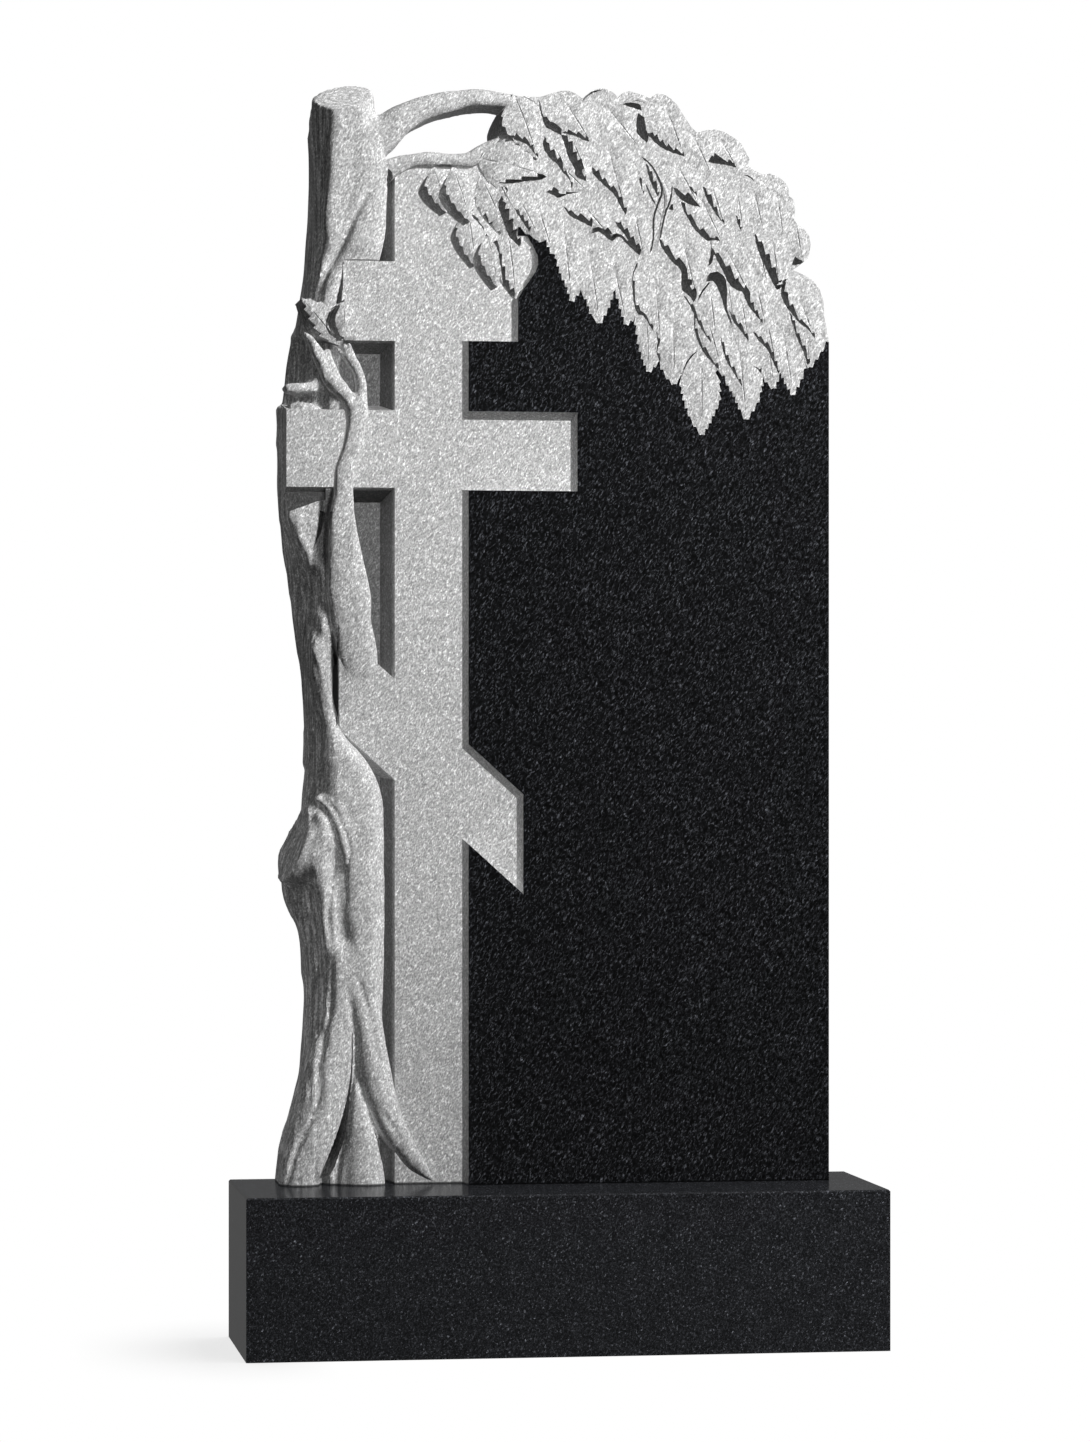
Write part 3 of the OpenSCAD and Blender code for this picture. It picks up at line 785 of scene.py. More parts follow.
# lower edge of the crown over the polished panel, from the upright to the slab's edge: tips and notches of the leaves
TIPS = [
    (-21.6, 897.5), (-12.7, 888.3), (-9.1, 898.2), (-8, 889.6), (-2, 877.1), (1.3, 881.9), (2.4, 871.5), (6.2, 858.6),
    (12.2, 845.8), (16.2, 832.8), (24.6, 843.7), (30.9, 834.7), (35.1, 820.9), (43.1, 812.4), (50.5, 826.7), (55.7, 842),
    (57.9, 843.7), (61, 835.1), (63.8, 825.5), (68.3, 811.4), (77.2, 819.4), (78.2, 810.5), (80.7, 792.5), (84.9, 778.6),
    (89.9, 767.3), (99, 776.5), (100.7, 776.8), (103.9, 769.2), (109.6, 760.2), (114.2, 755.8), (120.8, 764.5),
    (124.1, 772.2), (121.6, 763.9), (121.6, 752.7), (124.4, 740.3), (130, 725.1), (135.7, 715.4), (141.3, 708.2),
    (147.7, 719), (154, 732.3), (157.6, 740.7), (157.6, 756), (154, 767), (150.9, 774.7), (156.7, 769.6), (162.9, 764.6),
    (167, 754.6), (173.2, 744.5), (178.3, 732.5), (183.9, 723), (193.8, 738.7), (196.9, 748.9), (199.5, 760.6),
    (200.4, 764.1), (204.1, 758.7), (210.3, 752.7), (215.4, 765.3), (217.5, 768.6), (222.7, 757.3), (228.9, 746.8),
    (236.1, 761.5), (239.6, 771.7), (240.8, 778.2), (245.4, 773.4), (255.7, 788.1), (260.9, 798.3), (266.1, 802.5),]

# dark gaps along the lower left of the leaves: number of teeth, then points of the lower edge as x, height, width
GAPS = [
    (1, [(-15.2, 1021.3, 1.2), (-12.6, 1008.1, 2.2), (-8.9, 997.2, 5), (-2.6, 993.5, 6), (6.3, 989.1, 4.5)]),
    (3, [(7.2, 991.3, 2.5), (19.5, 988.4, 3), (26.9, 985.2, 3.2), (33, 983.2, 2)]),
    (5, [(-9.5, 987.5, 2), (-10.9, 977.8, 5), (-4.4, 967, 6), (2.1, 961.7, 4.5), (7.2, 954.5, 2.2), (14.6, 946.2, 1), (16.1, 937.7, 0.5)]),
    (5, [(6.3, 989.1, 4), (9.7, 979.4, 6), (13.4, 967.4, 7), (18.9, 957.2, 8), (20.1, 950.3, 8), (29.6, 946.1, 3.5)]),
    (5, [(35.7, 959.3, 2.5), (36.7, 953.3, 4.5), (46.5, 943.1, 3.6), (56.4, 934.2, 3.8), (61.9, 924.6, 3.6), (67.7, 915.2, 2)]),
    (2, [(-8.1, 935.2, 2.5), (-2.6, 933.1, 5), (3.8, 930.1, 4.5), (12.2, 933.4, 1.2), (23.2, 935.5, 0.5)]),
    (3, [(8.5, 921.8, 1), (14.6, 913.4, 3.5), (25.7, 907.6, 5), (35.2, 902.8, 5)]),
    (4, [(35, 896.5, 2), (42.9, 898.2, 5), (54.2, 890.2, 5.5), (61.3, 894.5, 2), (68.7, 887.7, 3.5), (81, 876.9, 4.5)]),
    (4, [(57.6, 908.5, 3), (60.1, 903.9, 3.5), (65, 898.5, 4), (73.6, 887.2, 4), (81, 880, 3)]),
    (4, [(-42.7, 986.6, 3.5), (-35.6, 983.1, 4), (-26.8, 979.7, 3.2), (-19.7, 971.6, 1.5), (-15.4, 967.1, 1)]),
    (0, [(26.4, 1021.2, 1.2), (33, 1027.5, 1.8), (39.2, 1030.7, 1.2), (46.5, 1032.6, 0.6)]),
    (0, [(64.5, 1019, 1.2), (74.7, 1016.4, 5), (82.9, 1013.7, 5)]),
    (0, [(79.6, 1011.3, 6), (78, 1001.5, 9), (78.8, 992.5, 10), (83.7, 987.5, 8), (88.2, 983.2, 3)]),
    (5, [(88.6, 991.7, 5), (98.2, 982.2, 4.5), (108.5, 976.3, 4), (123.9, 971.4, 2.5)]),
    (2, [(146.9, 966.2, 8), (152.6, 965.3, 7), (164.9, 963.9, 4), (174.2, 961.4, 1.5)]),
    (1, [(113.2, 941.3, 2), (117.7, 933.7, 5.5), (126.9, 927, 6), (139.3, 923.4, 1.2)]),
    (0, [(109.1, 921, 1.5), (111.6, 920.7, 6), (113.6, 920.3, 2)]),
    (3, [(121, 928.1, 3), (123.9, 919.3, 2.5), (128.4, 911.7, 3), (134.1, 902.5, 4), (146, 892.2, 4.5), (152.6, 892.9, 2.5), (158.4, 891.6, 1)]),
    (2, [(127.5, 943, 1), (132.1, 938, 1.6), (136.6, 933.6, 1)]),
    (3, [(141.9, 943.2, 1.5), (145.4, 931.8, 4), (150.1, 923.8, 3.2), (155.7, 915.2, 1.6), (162.9, 907.8, 0.8)]),
    (2, [(173.2, 916.5, 2), (175.6, 908.5, 2), (178.7, 901.6, 1)]),
    (0, [(181.8, 954.3, 1.2), (186.6, 952.8, 1.4), (192.1, 948.8, 0.6)]),
    (5, [(191.7, 899.6, 1), (193.8, 888.5, 4.5), (197.9, 876.4, 6.5), (206.1, 859.4, 6.5), (213.4, 847.1, 6), (218.5, 850, 2.5), (223.1, 857, 1)]),
    (0, [(228, 870.5, 9), (233, 870.5, 7), (240.8, 872.1, 1)]),
    (4, [(221, 856.2, 1), (217.3, 844.3, 4.5), (220.6, 833.3, 5), (226, 825.8, 4), (235.1, 815.2, 2.4), (243.3, 809.3, 2), (249.9, 800.6, 1)]),
    (4, [(225.6, 824.2, 1.5), (232, 803, 2.2), (238.8, 787.9, 2.6), (243.3, 775, 2)]),
    (1, [(148.9, 893.8, 1), (149.9, 883.7, 1.4), (148.5, 874.6, 2.5), (146.9, 867.9, 2)]),
    (4, [(149.5, 885.8, 1), (153.6, 877.7, 3), (160.4, 864.7, 6), (168.2, 850.1, 8), (177.3, 844.7, 6), (188, 840.9, 2)]),
    (4, [(179.4, 845.8, 4), (185.5, 831.7, 4), (190.1, 825.3, 3), (199.5, 814.5, 0.8)]),
    (0, [(144.8, 852.9, 1.5), (148.1, 853.8, 6), (152.6, 853.1, 11), (157.1, 845.4, 9), (160.8, 835.4, 4.5), (163.3, 826.3, 2.4), (169.5, 812.5, 1.2)]),
    (3, [(167.4, 825.4, 1.2), (171.5, 815.3, 3), (178.3, 807.3, 3), (185.9, 797.3, 1)]),
    (5, [(190.5, 805.9, 1.5), (196.2, 797.5, 3.2), (204.1, 789.5, 3), (209.2, 778.4, 2.6), (214.8, 766.9, 1.4)]),
    (4, [(158.8, 801, 1), (160.8, 789.9, 2), (164.9, 777.8, 2.4), (171.1, 767.8, 2), (179.8, 753.7, 0.8)]),
    (1, [(191.3, 773.1, 1), (194.8, 770.7, 2), (198.3, 766.3, 1.4)]),
    (4, [(99.7, 893, 1.5), (102.5, 885, 4), (111.6, 872, 5), (120.6, 863.1, 5.5), (121.8, 845.9, 9), (129, 839.4, 6.5), (133.3, 833.4, 2)]),
    (3, [(123.4, 839.3, 1), (129, 830.9, 2), (134.1, 820.8, 2.4), (141.3, 806.8, 1.8), (149.3, 795.6, 0.8)]),
    (3, [(133.7, 822.9, 1), (134.5, 804.7, 1.8), (142.3, 786.6, 2.6), (152.6, 774.6, 2.2), (157.1, 770.2, 1)]),
    (3, [(78.8, 870.1, 0.8), (74.3, 856.3, 1.2), (75.1, 836.1, 2), (78.8, 822.5, 3), (85.3, 819.1, 2.6), (93.5, 806.1, 1.2)]),
    (2, [(96.8, 805.2, 0.8), (98.4, 796.1, 1.4), (97.6, 786, 1.2), (100.5, 777, 1.4)]),
    (3, [(87.4, 963.4, 1.5), (90.7, 949.3, 3.5), (95.2, 939.3, 3.4), (98.8, 932.9, 1.2)]),
    (1, [(81.5, 951.2, 1.8), (81.2, 947.1, 1.8), (84.9, 935.1, 0.8)]),
    (4, [(-76.4, 919.6, 3), (-77, 914.1, 6), (-69.4, 905.8, 8.5), (-64.8, 898.4, 7.5), (-63.8, 892.8, 4)]),
    (5, [(-58.5, 891.8, 4), (-53.1, 880.3, 2.6), (-51.6, 870.6, 2.2), (-48.8, 854.5, 3.4), (-48.1, 847, 5), (-42.3, 838.5, 5), (-39.9, 833.1, 3)]),
    (5, [(-49.6, 931.8, 2.5), (-52.9, 922.2, 6), (-48.2, 907.2, 6.5), (-42.3, 893.9, 6.5), (-37, 888.6, 4.5), (-32.5, 883.6, 2)]),
    (4, [(-39, 920.3, 1), (-35.7, 914.5, 2.2), (-29.8, 905.4, 3), (-24.3, 897.4, 3)]),
    (0, [(-72.1, 957.3, 2.5), (-69.4, 953.1, 2.2), (-65.9, 950.8, 1)]),
    (0, [(-66.6, 973.6, 1.4), (-69.4, 968.2, 2), (-71.8, 963.6, 1.2)]),
    (0, [(-48.2, 939.7, 1), (-46.4, 936.9, 2), (-46, 933.5, 1.4)]),
    (3, [(-54.2, 942.6, 0.8), (-41.2, 942.7, 3), (-27, 945.1, 3.2), (-15.1, 946.4, 4.2), (-7.7, 949.3, 2.5)]),
]

# the same round the trunk: its slit beside the bar, the curl of the small leaf, clefts between the roots and beside the twigs
CLEFTS = [
    (0, [(-199.4, 867.5, 1.3), (-200.6, 853, 2.8), (-203.2, 839, 5.2), (-205.2, 828, 6.4)], 15),
    (0, [(-204, 828.5, 3), (-212.9, 819.3, 7), (-216.1, 808.6, 8), (-213.6, 800.2, 6), (-206.5, 795.6, 3), (-197.4, 793.6, 1.5)], 9),
    (0, [(-203.7, 527.1, 0.8), (-204.2, 500, 2.6), (-204.7, 462.4, 3), (-205, 431.8, 2.6)], 15),
    (0, [(-190.3, 144.3, 1), (-191.1, 112.1, 2.2), (-194.4, 85.2, 4), (-201.6, 58.4, 8), (-210.6, 34.3, 13), (-220.3, 10.8, 12), (-222.7, 4.9, 9)], 13),
    (0, [(-170.3, 61.9, 1), (-167.6, 47.1, 4), (-164.4, 30.9, 9), (-160, 14.7, 12), (-159, 3.9, 11)], 14),
    (0, [(-219, 636, 10), (-222, 615, 9.5), (-226, 596, 7), (-227.5, 574, 4), (-228, 552, 1.2)], 12),
    (0, [(-157, 955, 3.5), (-158, 944, 6.5), (-156.5, 932, 5.5), (-155, 918, 3)], 12),
    (0, [(-122.9, 955.5, 0.8), (-109.7, 958.2, 2.6), (-98, 957.8, 2.8), (-86.2, 955.2, 2.4), (-78.9, 952, 2.2), (-73, 947.5, 1.8), (-71.2, 941.9, 1)], 4),
    (0, [(83.2, 969.8, 1.2), (92.2, 961.1, 1.6), (98.5, 949.6, 1.9), (101.8, 937.5, 1.9), (96.9, 923.3, 1.8), (93.8, 911.1, 1.8), (93.6, 895, 1.8), (91.2, 879.6, 1.2)], 0),
    (0, [(112.3, 943.8, 0.8), (110, 930, 1.8), (105.5, 919.4, 1.8), (101.8, 903.2, 1.6), (100.2, 892.7, 1.4)], 0),
    (0, [(86.7, 944.9, 1), (91.2, 933.3, 1.6), (96.5, 924.1, 1.4)], 0),
    (0, [(123.4, 768.3, 0.6), (125.1, 774.5, 1.3), (127.9, 779.3, 1.5), (132.1, 784.2, 1.3), (136.3, 787.0, 0.7)], 0),
    (0, [(136.9, 834.2, 0.6), (139.7, 841.8, 1.4), (143.9, 848.0, 1.6), (148.8, 852.9, 0.8)], 0),
]


def serrate(pts, pitch=7.4, amp=2.3):
    """Teeth along each longer run of an outline that goes to the right, pointing to the tips, which are its low points."""
    out = []
    for (ax, az), (bx, bz) in zip(pts, pts[1:]):
        out.append((ax, az))
        ln = math.hypot(bx - ax, bz - az)
        n = int(ln / pitch + 0.4)
        nx, nz = (bz - az) / ln, -(bx - ax) / ln
        for k in range(n):
            if bz < az:
                marks = ((k + 0.86) / n, amp), ((k + 0.985) / n, -0.2)
            else:
                marks = ((k + 0.015) / n, -0.2), ((k + 0.14) / n, amp)
            for t, o in marks:
                if 0.05 < t < 0.95:
                    out.append((ax + (bx - ax) * t + nx * o, az + (bz - az) * t + nz * o))
    out.append(pts[-1])
    return out


def gap(name, teeth, pts, r, base=0.0):
    """A wedge to cut away: its wall slopes from the toothed upper right edge down to a crease under the lower left edge."""
    q = spline(pts, 8)
    seg = np.hypot(np.diff(q[:, 0]), np.diff(q[:, 1]))
    arc = np.concatenate([[0], np.cumsum(seg)])
    ln = arc[-1]
    ph = r.uniform(0.15, 0.75)
    at = set(np.linspace(0, ln, max(4, int(ln / 2.2))).round(3))
    for k in range(1, teeth + 1):
        c = (k - ph) / max(teeth, 1) * ln
        if 1.0 < c < ln - 1.0:
            at = {v for v in at if abs(v - c) > 1.1} | {round(c - 0.22, 3), round(c + 0.22, 3)}
    at = sorted(at)
    d = (q[-1, 0] - q[0, 0], q[-1, 1] - q[0, 1])
    sign = 1.0 if -d[1] * 0.75 + d[0] * 0.66 > 0 else -1.0
    verts, n = [], 0
    for a in at:
        x, z, w = (np.interp(a, arc, q[:, c]) for c in range(3))
        b0, b1 = max(a - 1.6, 0), min(a + 1.6, ln)
        tx = np.interp(b1, arc, q[:, 0]) - np.interp(b0, arc, q[:, 0])
        tz = np.interp(b1, arc, q[:, 1]) - np.interp(b0, arc, q[:, 1])
        l = math.hypot(tx, tz)
        nx, nz = -tz / l * sign, tx / l * sign
        w = max(w, 0.3)
        if teeth:
            fr = (a / ln * teeth + ph) % 1.0
            w2 = w * 1.12 + min(4.2, 1.6 + 0.48 * w) * (0.55 - fr)
        else:
            w2 = w
        e = min(1.0, (a + 0.25) / 1.6, (ln - a + 0.25) / 1.6)
        w2 = max(w2, 0.45) * e
        lo_ = -0.15 * e + 0.25 * math.sin(a * 0.9 + ph * 9) * e
        deep = base + (3.0 + 2.1 * min(w, 10.0)) * (0.35 + 0.65 * e)
        for off, dep in ((w2, -6.0), (lo_, -6.0), (lo_, deep), (lo_ + 0.12 * w2, deep), (w2 * 0.97, base + 0.8)):
            verts.append((x + nx * off, dep, z + nz * off))
        n += 1
    faces = []
    for i in range(n - 1):
        for k in range(5):
            h = (k + 1) % 5
            faces.append((i * 5 + k, (i + 1) * 5 + k, (i + 1) * 5 + h, i * 5 + h))
    faces.append((0, 1, 2, 3, 4))
    faces.append(tuple(n * 5 - 1 - k for k in range(5)))
    ob = make(name, verts, faces)
    fix_normals(ob)
    # the wedge's faces take the painted shade where they cut
    in_shade(ob)
    return ob


def in_shade(ob, faces=None):
    """Marks faces for painted shade as recess walls; the mark outlives the booleans as the second material slot."""
    slots(ob)
    for k in (faces if faces is not None else range(len(ob.data.polygons))):
        ob.data.polygons[k].material_index = 1


def crown(body):
    # the crown's front, flush with its leaves' rims
    line = serrate(TIPS)
    left = [(-44, 1010), (-47, 985), (-50, 966), (-58, 955), (-50, 940), (-42, 925), (-30, 905)]
    edge = [(min(x, EDGE), z) for x, z in line] + [(min(x, EDGE), z) for x, z in CROWN[1:]] + left
    can = prism("crown", edge, -0.7, 16)
    fix_normals(can)
    steps, wood_slots, over = [], [], []
    for n, (x0, z0, x1, z1, w, d0, d1, moat, opt) in enumerate(LEAVES):
        flat = n >= 8 and n not in OVER_WOOD
        if flat or 4 <= n < 8 or n == 51:
            moat = 0.0
        if flat:
            d0, d1, back = 2.2, -0.75, 15.0
        else:
            back = 40.0 if n < 8 else THICK
        solid, slot = leaf("leaf%02d" % n, x0, z0, x1, z1, w, d0, d1, moat, back=back, seed=n + 11, **opt)
        if flat:
            over.append(("UNION", solid))
            continue
        if slot is not None:
            if n in OVER_WOOD:
                c = slot.copy()
                c.data = slot.data.copy()
                scene.collection.objects.link(c)
                wood_slots.append(c)
            steps.append(("DIFFERENCE", slot))
        steps.append(("UNION", solid))
    lim = prism("edge", edge, -3.0, 16)
    fix_normals(lim)
    combine(can, over + [("INTERSECT", lim)])
    combine(body, [("UNION", can)] + steps)
    limit = [(-300, -20), (EDGE, -20)] + [(x, z) for x, z in CROWN] + [(-52, 1030), (-62, 990), (-300, 990)]
    limit = [(min(x, EDGE), z) for x, z in limit]
    combine(body, [("INTERSECT", prism("limit", limit, -3.0, THICK))])
    return body, wood_slots


def twigs():
    out = []
    out.append(tube("twig_a", [(46, 1012, 1.8, 3), (56, 1012, 2.4, 0.5), (67, 1020, 2.6, -0.2), (77, 1025, 2.6, -0.2), (90, 1021, 2.2, 1.0), (97, 1012, 1.6, 5)]))
    out.append(tube("twig_b", [(88, 964, 1.6, 4), (99, 951, 2.2, 0.5), (106, 938, 2.6, -0.2), (107, 924, 2.7, -0.2), (104, 912, 2.5, -0.2), (101, 898, 2.2, 0.2),
                               (99, 884, 1.8, 1.0), (96, 871, 1.1, 3)]))
    out.append(tube("twig_c", [(91, 936, 1.0, 4), (97, 923, 1.5, 1.0), (104, 914, 2.0, 0.2)]))
    out.append(tube("twig_d", [(99, 882, 1.4, 1.5), (103, 872, 0.9, 3)]))
    out.append(tube("twig_e", [(154, 878, 1.0, 3), (155, 866, 1.5, 1.0), (157, 854, 1.2, 2)]))
    return out


def trunk_leaves():
    a = leaf("leaf_a", -203, 789, -239, 832, 38, 8, 2.5, 1.0, back=45, left=0.42, right=0.98, teeth=6, seed=3, drop_=18, pull=(-0.75, -0.66))
    b = leaf("leaf_b", -198, 832, -201, 793, 20, 3, 1.0, 0.9, back=40, left=1.0, right=0.9, teeth=4, seed=5, drop_=18, amp=0.3, pull=(-1.0, -0.1))
    return a, b


def build_stele():
    body = combine(cross_solid(), [("UNION", panel_solid())])
    body, wood_slots = crown(body)
    w = wood()
    (la, sa), (lb, sb) = trunk_leaves()
    # a cut into the wood under the main bar's left end; its faces take the painted shade
    arch = prism("arch", [(-270, 624), (-256, 630), (-245, 635), (-222, 643.5), (-214, 645), (-214, 662), (-270, 662)], -8, 38)
    fix_normals(arch)
    in_shade(arch)
    slots(w)
    # nothing of the limb lies in front of the upper bar
    bar = prism("bar", rect(-198.5, POST0 + 3, 836, UP_Z1), -8, POCKET + 0.3)
    fix_normals(bar)
    slots(bar)
    steps = [("DIFFERENCE", s) for s in wood_slots] + [("DIFFERENCE", arch), ("DIFFERENCE", bar)]
    combine(w, steps)
    combine(w, [("INTERSECT", prism("box", rect(-258.4, 100, 0, TOP), -2.95, THICK))])
    m = w.modifiers.new("d", "DECIMATE")
    m.ratio = 0.62
    me = evaluated(w)
    w.modifiers.clear()
    w.data = me
    combine(body, [("UNION", w)])
    combine(body, [("DIFFERENCE", sa), ("UNION", la), ("DIFFERENCE", sb), ("UNION", lb)] + [("UNION", t) for t in twigs()])
    r = np.random.default_rng(21)
    cuts = [gap("gap%02d" % n, k, p, r, 4.0 if p[0][0] < -30 and k and p[0][1] < 935 else 0.0) for n, (k, p) in enumerate(GAPS)]
    cuts += [gap("cleft%02d" % n, k, p, r, b) for n, (k, p, b) in enumerate(CLEFTS)]
    combine(body, [("DIFFERENCE", c) for c in cuts])
    combine(body, [("INTERSECT", prism("box", rect(-258.4, EDGE, 0, TOP), -2.98, THICK))])
    return body


# ---------------------------------------------------------------- materials
def nodes_of(name):
    mat = bpy.data.materials.new(name)
    mat.use_nodes = True
    nt = mat.node_tree
    nt.nodes.clear()
    return mat, nt


class Graph:
    def __init__(self, nt):
        self.nt = nt

    def new(self, kind, **kw):
        n = self.nt.nodes.new(kind)
        for k, v in kw.items():
            setattr(n, k, v)
        return n

    def link(self, a, b):
        self.nt.links.new(a, b)

    def mapping(self, coord, scale=(1, 1, 1), rot=(0, 0, 0), loc=(0, 0, 0)):
        m = self.new("ShaderNodeMapping")
        m.inputs["Scale"].default_value = scale
        m.inputs["Rotation"].default_value = rot
        m.inputs["Location"].default_value = loc
        self.link(coord, m.inputs["Vector"])
        return m.outputs["Vector"]

    def noise(self, coord, scale, detail=2.0, rough=0.5, dist=0.0):
        n = self.new("ShaderNodeTexNoise")
        n.inputs["Scale"].default_value = scale
        n.inputs["Detail"].default_value = detail
        n.inputs["Roughness"].default_value = rough
        n.inputs["Distortion"].default_value = dist
        self.link(coord, n.inputs["Vector"])
        return n.outputs["Fac"]

    def ramp(self, fac, stops):
        n = self.new("ShaderNodeValToRGB")
        e = n.color_ramp.elements
        while len(e) < len(stops):
            e.new(0.5)
        for k, (p, v) in enumerate(stops):
            e[k].position = p
            c = v if isinstance(v, tuple) else (v, v, v)
            e[k].color = (*c, 1)
        self.link(fac, n.inputs["Fac"])
        return n.outputs["Color"]

    def math(self, op, a, b=None, clamp=False):
        n = self.new("ShaderNodeMath", operation=op, use_clamp=clamp)
        for k, v in enumerate((a, b)):
            if v is None:
                continue
            if isinstance(v, (int, float)):
                n.inputs[k].default_value = v
            else:
                self.link(v, n.inputs[k])
        return n.outputs[0]

    def mix(self, kind, fac, a, b):
        n = self.new("ShaderNodeMix", data_type="RGBA", blend_type=kind)
        for sock, v in ((n.inputs[0], fac), (n.inputs[6], a), (n.inputs[7], b)):
            if isinstance(v, (int, float)):
                sock.default_value = v if sock.type == "VALUE" else (v, v, v, 1)
            elif isinstance(v, tuple):
                sock.default_value = (*v, 1)
            else:
                self.link(v, sock)
        return n.outputs[2]

    def bump(self, height, strength, dist):
        n = self.new("ShaderNodeBump")
        n.inputs["Strength"].default_value = strength
        n.inputs["Distance"].default_value = dist
        self.link(height, n.inputs["Height"])
        return n.outputs["Normal"]


def joint(g, z):
    return g.math("MAXIMUM", g.math("MULTIPLY", g.math("SUBTRACT", z, FOOT + 0.0006), 700.0, clamp=True), 0.12)


def carved_granite(name, level):
    mat, nt = nodes_of(name)
    g = Graph(nt)
    tc = g.new("ShaderNodeTexCoord")
    obj = tc.outputs["Object"]
    # crystals: short curved flecks, a little longer down to the right
    a = g.mapping(g.mapping(obj, rot=(0, -0.5, 0)), (1.25, 1.0, 0.62))
    n1 = g.noise(a, 400.0, 2.0, 0.55, 1.0)
    n2 = g.noise(a, 700.0, 1.0, 0.5, 0.4)
    n3 = g.noise(obj, 90.0, 2.0, 0.5, 0.0)
    f1 = g.ramp(n1, [(0.30, 0.32), (0.46, 0.44), (0.56, 0.53), (0.68, 0.88)])
    f2 = g.ramp(n2, [(0.36, 0.66), (0.52, 0.98), (0.70, 1.32)])
    f3 = g.ramp(n3, [(0.3, 0.93), (0.7, 1.06)])
    c = g.mix("MULTIPLY", 1.0, f1, f2)
    c = g.mix("MULTIPLY", 1.0, c, f3)
    # painted shade in the deep hollow between the trunk and the upright, less on its side walls
    sep = g.new("ShaderNodeSeparateXYZ")
    g.link(obj, sep.inputs[0])
    deep = g.math("MULTIPLY", g.math("SUBTRACT", sep.outputs["Y"], FRONT + 0.0225), 90.0, clamp=True)
    side = g.math("MULTIPLY", g.math("SUBTRACT", sep.outputs["X"], -0.214), 120.0, clamp=True)
    right = g.math("MULTIPLY", g.math("SUBTRACT", -0.075, sep.outputs["X"]), 60.0, clamp=True)
    floor_ = g.math("MULTIPLY", g.math("SUBTRACT", sep.outputs["Y"], FRONT + 0.0700), 600.0, clamp=True)
    below = g.math("MULTIPLY", g.math("SUBTRACT", FOOT + 0.955, sep.outputs["Z"]), 150.0, clamp=True)
    facing = g.math("ABSOLUTE", split(g, tc.outputs["Normal"], "Y"), 0.0)
    wall = g.math("MULTIPLY", g.math("SUBTRACT", 0.20, facing), 12.0, clamp=True)
    much = g.math("SUBTRACT", 0.84, g.math("ADD", g.math("MULTIPLY", floor_, 0.07), g.math("MULTIPLY", wall, 0.60)))
    shade = g.math("SUBTRACT", 1.0, g.math("MULTIPLY", g.math("MULTIPLY", g.math("MULTIPLY", g.math("MULTIPLY", deep, side), right), below), much))
    c = g.mix("MULTIPLY", 1.0, c, shade)
    # painted shade under the main bar's left end, beside the leader, in the slit below it and behind the forks; the
    # stone left of the slit a little darker, and the crown a little darker towards the right
    x_, y_, z_ = sep.outputs["X"], sep.outputs["Y"], sep.outputs["Z"]

    def over(v, t, k):
        return g.math("MULTIPLY", g.math("SUBTRACT", v, t), k, clamp=True)

    def under(v, t, k):
        return g.math("MULTIPLY", g.math("SUBTRACT", t, v), k, clamp=True)

    def patch(amount, *masks):
        m = masks[0]
        for q in masks[1:]:
            m = g.math("MULTIPLY", m, q)
        return g.math("SUBTRACT", 1.0, g.math("MULTIPLY", m, amount))

    slope = g.math("ADD", x_, g.math("MULTIPLY", g.math("SUBTRACT", FOOT + 0.636, z_), 0.16))
    for p_ in (
        patch(0.72, over(y_, FRONT + 0.034, 400.0), under(x_, -0.2125, 400.0), over(z_, FOOT + 0.618, 90.0), under(z_, FOOT + 0.6565, 400.0),
              over(facing, 0.5, 4.0)),
        patch(0.66, over(slope, -0.2200, 400.0), under(x_, -0.205, 300.0), over(y_, FRONT + 0.010, 200.0), over(z_, FOOT + 0.572, 50.0), under(z_, FOOT + 0.657, 400.0)),
        patch(0.80, over(x_, -0.2090, 800.0), under(x_, -0.2010, 800.0), over(y_, FRONT + 0.018, 300.0), over(z_, FOOT + 0.425, 300.0), under(z_, FOOT + 0.535, 300.0)),
        patch(0.09, over(x_, -0.010, 8.0), over(z_, FOOT + 0.66, 30.0)),
        patch(0.32, under(x_, -0.206, 120.0), over(z_, FOOT + 0.410, 25.0), under(z_, FOOT + 0.540, 40.0)),
        patch(0.55, over(x_, -0.2230, 300.0), under(x_, -0.185, 300.0), over(y_, FRONT + 0.013, 200.0), over(z_, FOOT + 0.736, 150.0), under(z_, FOOT + 0.800, 150.0),
              under(deep, 0.6, 4.0)),
    ):
        c = g.mix("MULTIPLY", 1.0, c, p_)
    # the sawn top, which faces up: painted light makes it paler, with faint year rings
    sawn = g.math("MULTIPLY", g.math("MULTIPLY", over(split(g, tc.outputs["Normal"], "Z"), 0.55, 6.0), over(z_, FOOT + 0.985, 200.0)), under(x_, -0.158, 200.0))
    dx, dy = g.math("ADD", x_, 0.199), g.math("SUBTRACT", y_, FRONT + 0.036)
    rad = g.math("SQRT", g.math("ADD", g.math("MULTIPLY", dx, dx), g.math("MULTIPLY", dy, dy)), 0.0)
    rad = g.math("ADD", rad, g.math("MULTIPLY", g.noise(obj, 45.0, 1.0, 0.5, 0.0), 0.006))
    ring = g.math("SINE", g.math("MULTIPLY", rad, 820.0), 0.0)
    tone = g.math("ADD", 1.40, g.math("MULTIPLY", ring, 0.22))
    c = g.mix("MIX", sawn, c, g.mix("MULTIPLY", 1.0, c, tone))
    # painted shade: the upright is a little darker towards its foot; a thin dark joint where the stone stands on the
    # plinth
    low = g.math("MULTIPLY", g.math("MULTIPLY", g.math("SUBTRACT", FOOT + 0.30, sep.outputs["Z"]), 3.3, clamp=True),
                 g.math("MULTIPLY", g.math("ADD", sep.outputs["X"], 0.151), 400.0, clamp=True))
    c = g.mix("MULTIPLY", 1.0, c, g.math("SUBTRACT", 1.0, g.math("MULTIPLY", low, 0.19)))
    c = g.mix("MULTIPLY", 1.0, c, joint(g, sep.outputs["Z"]))
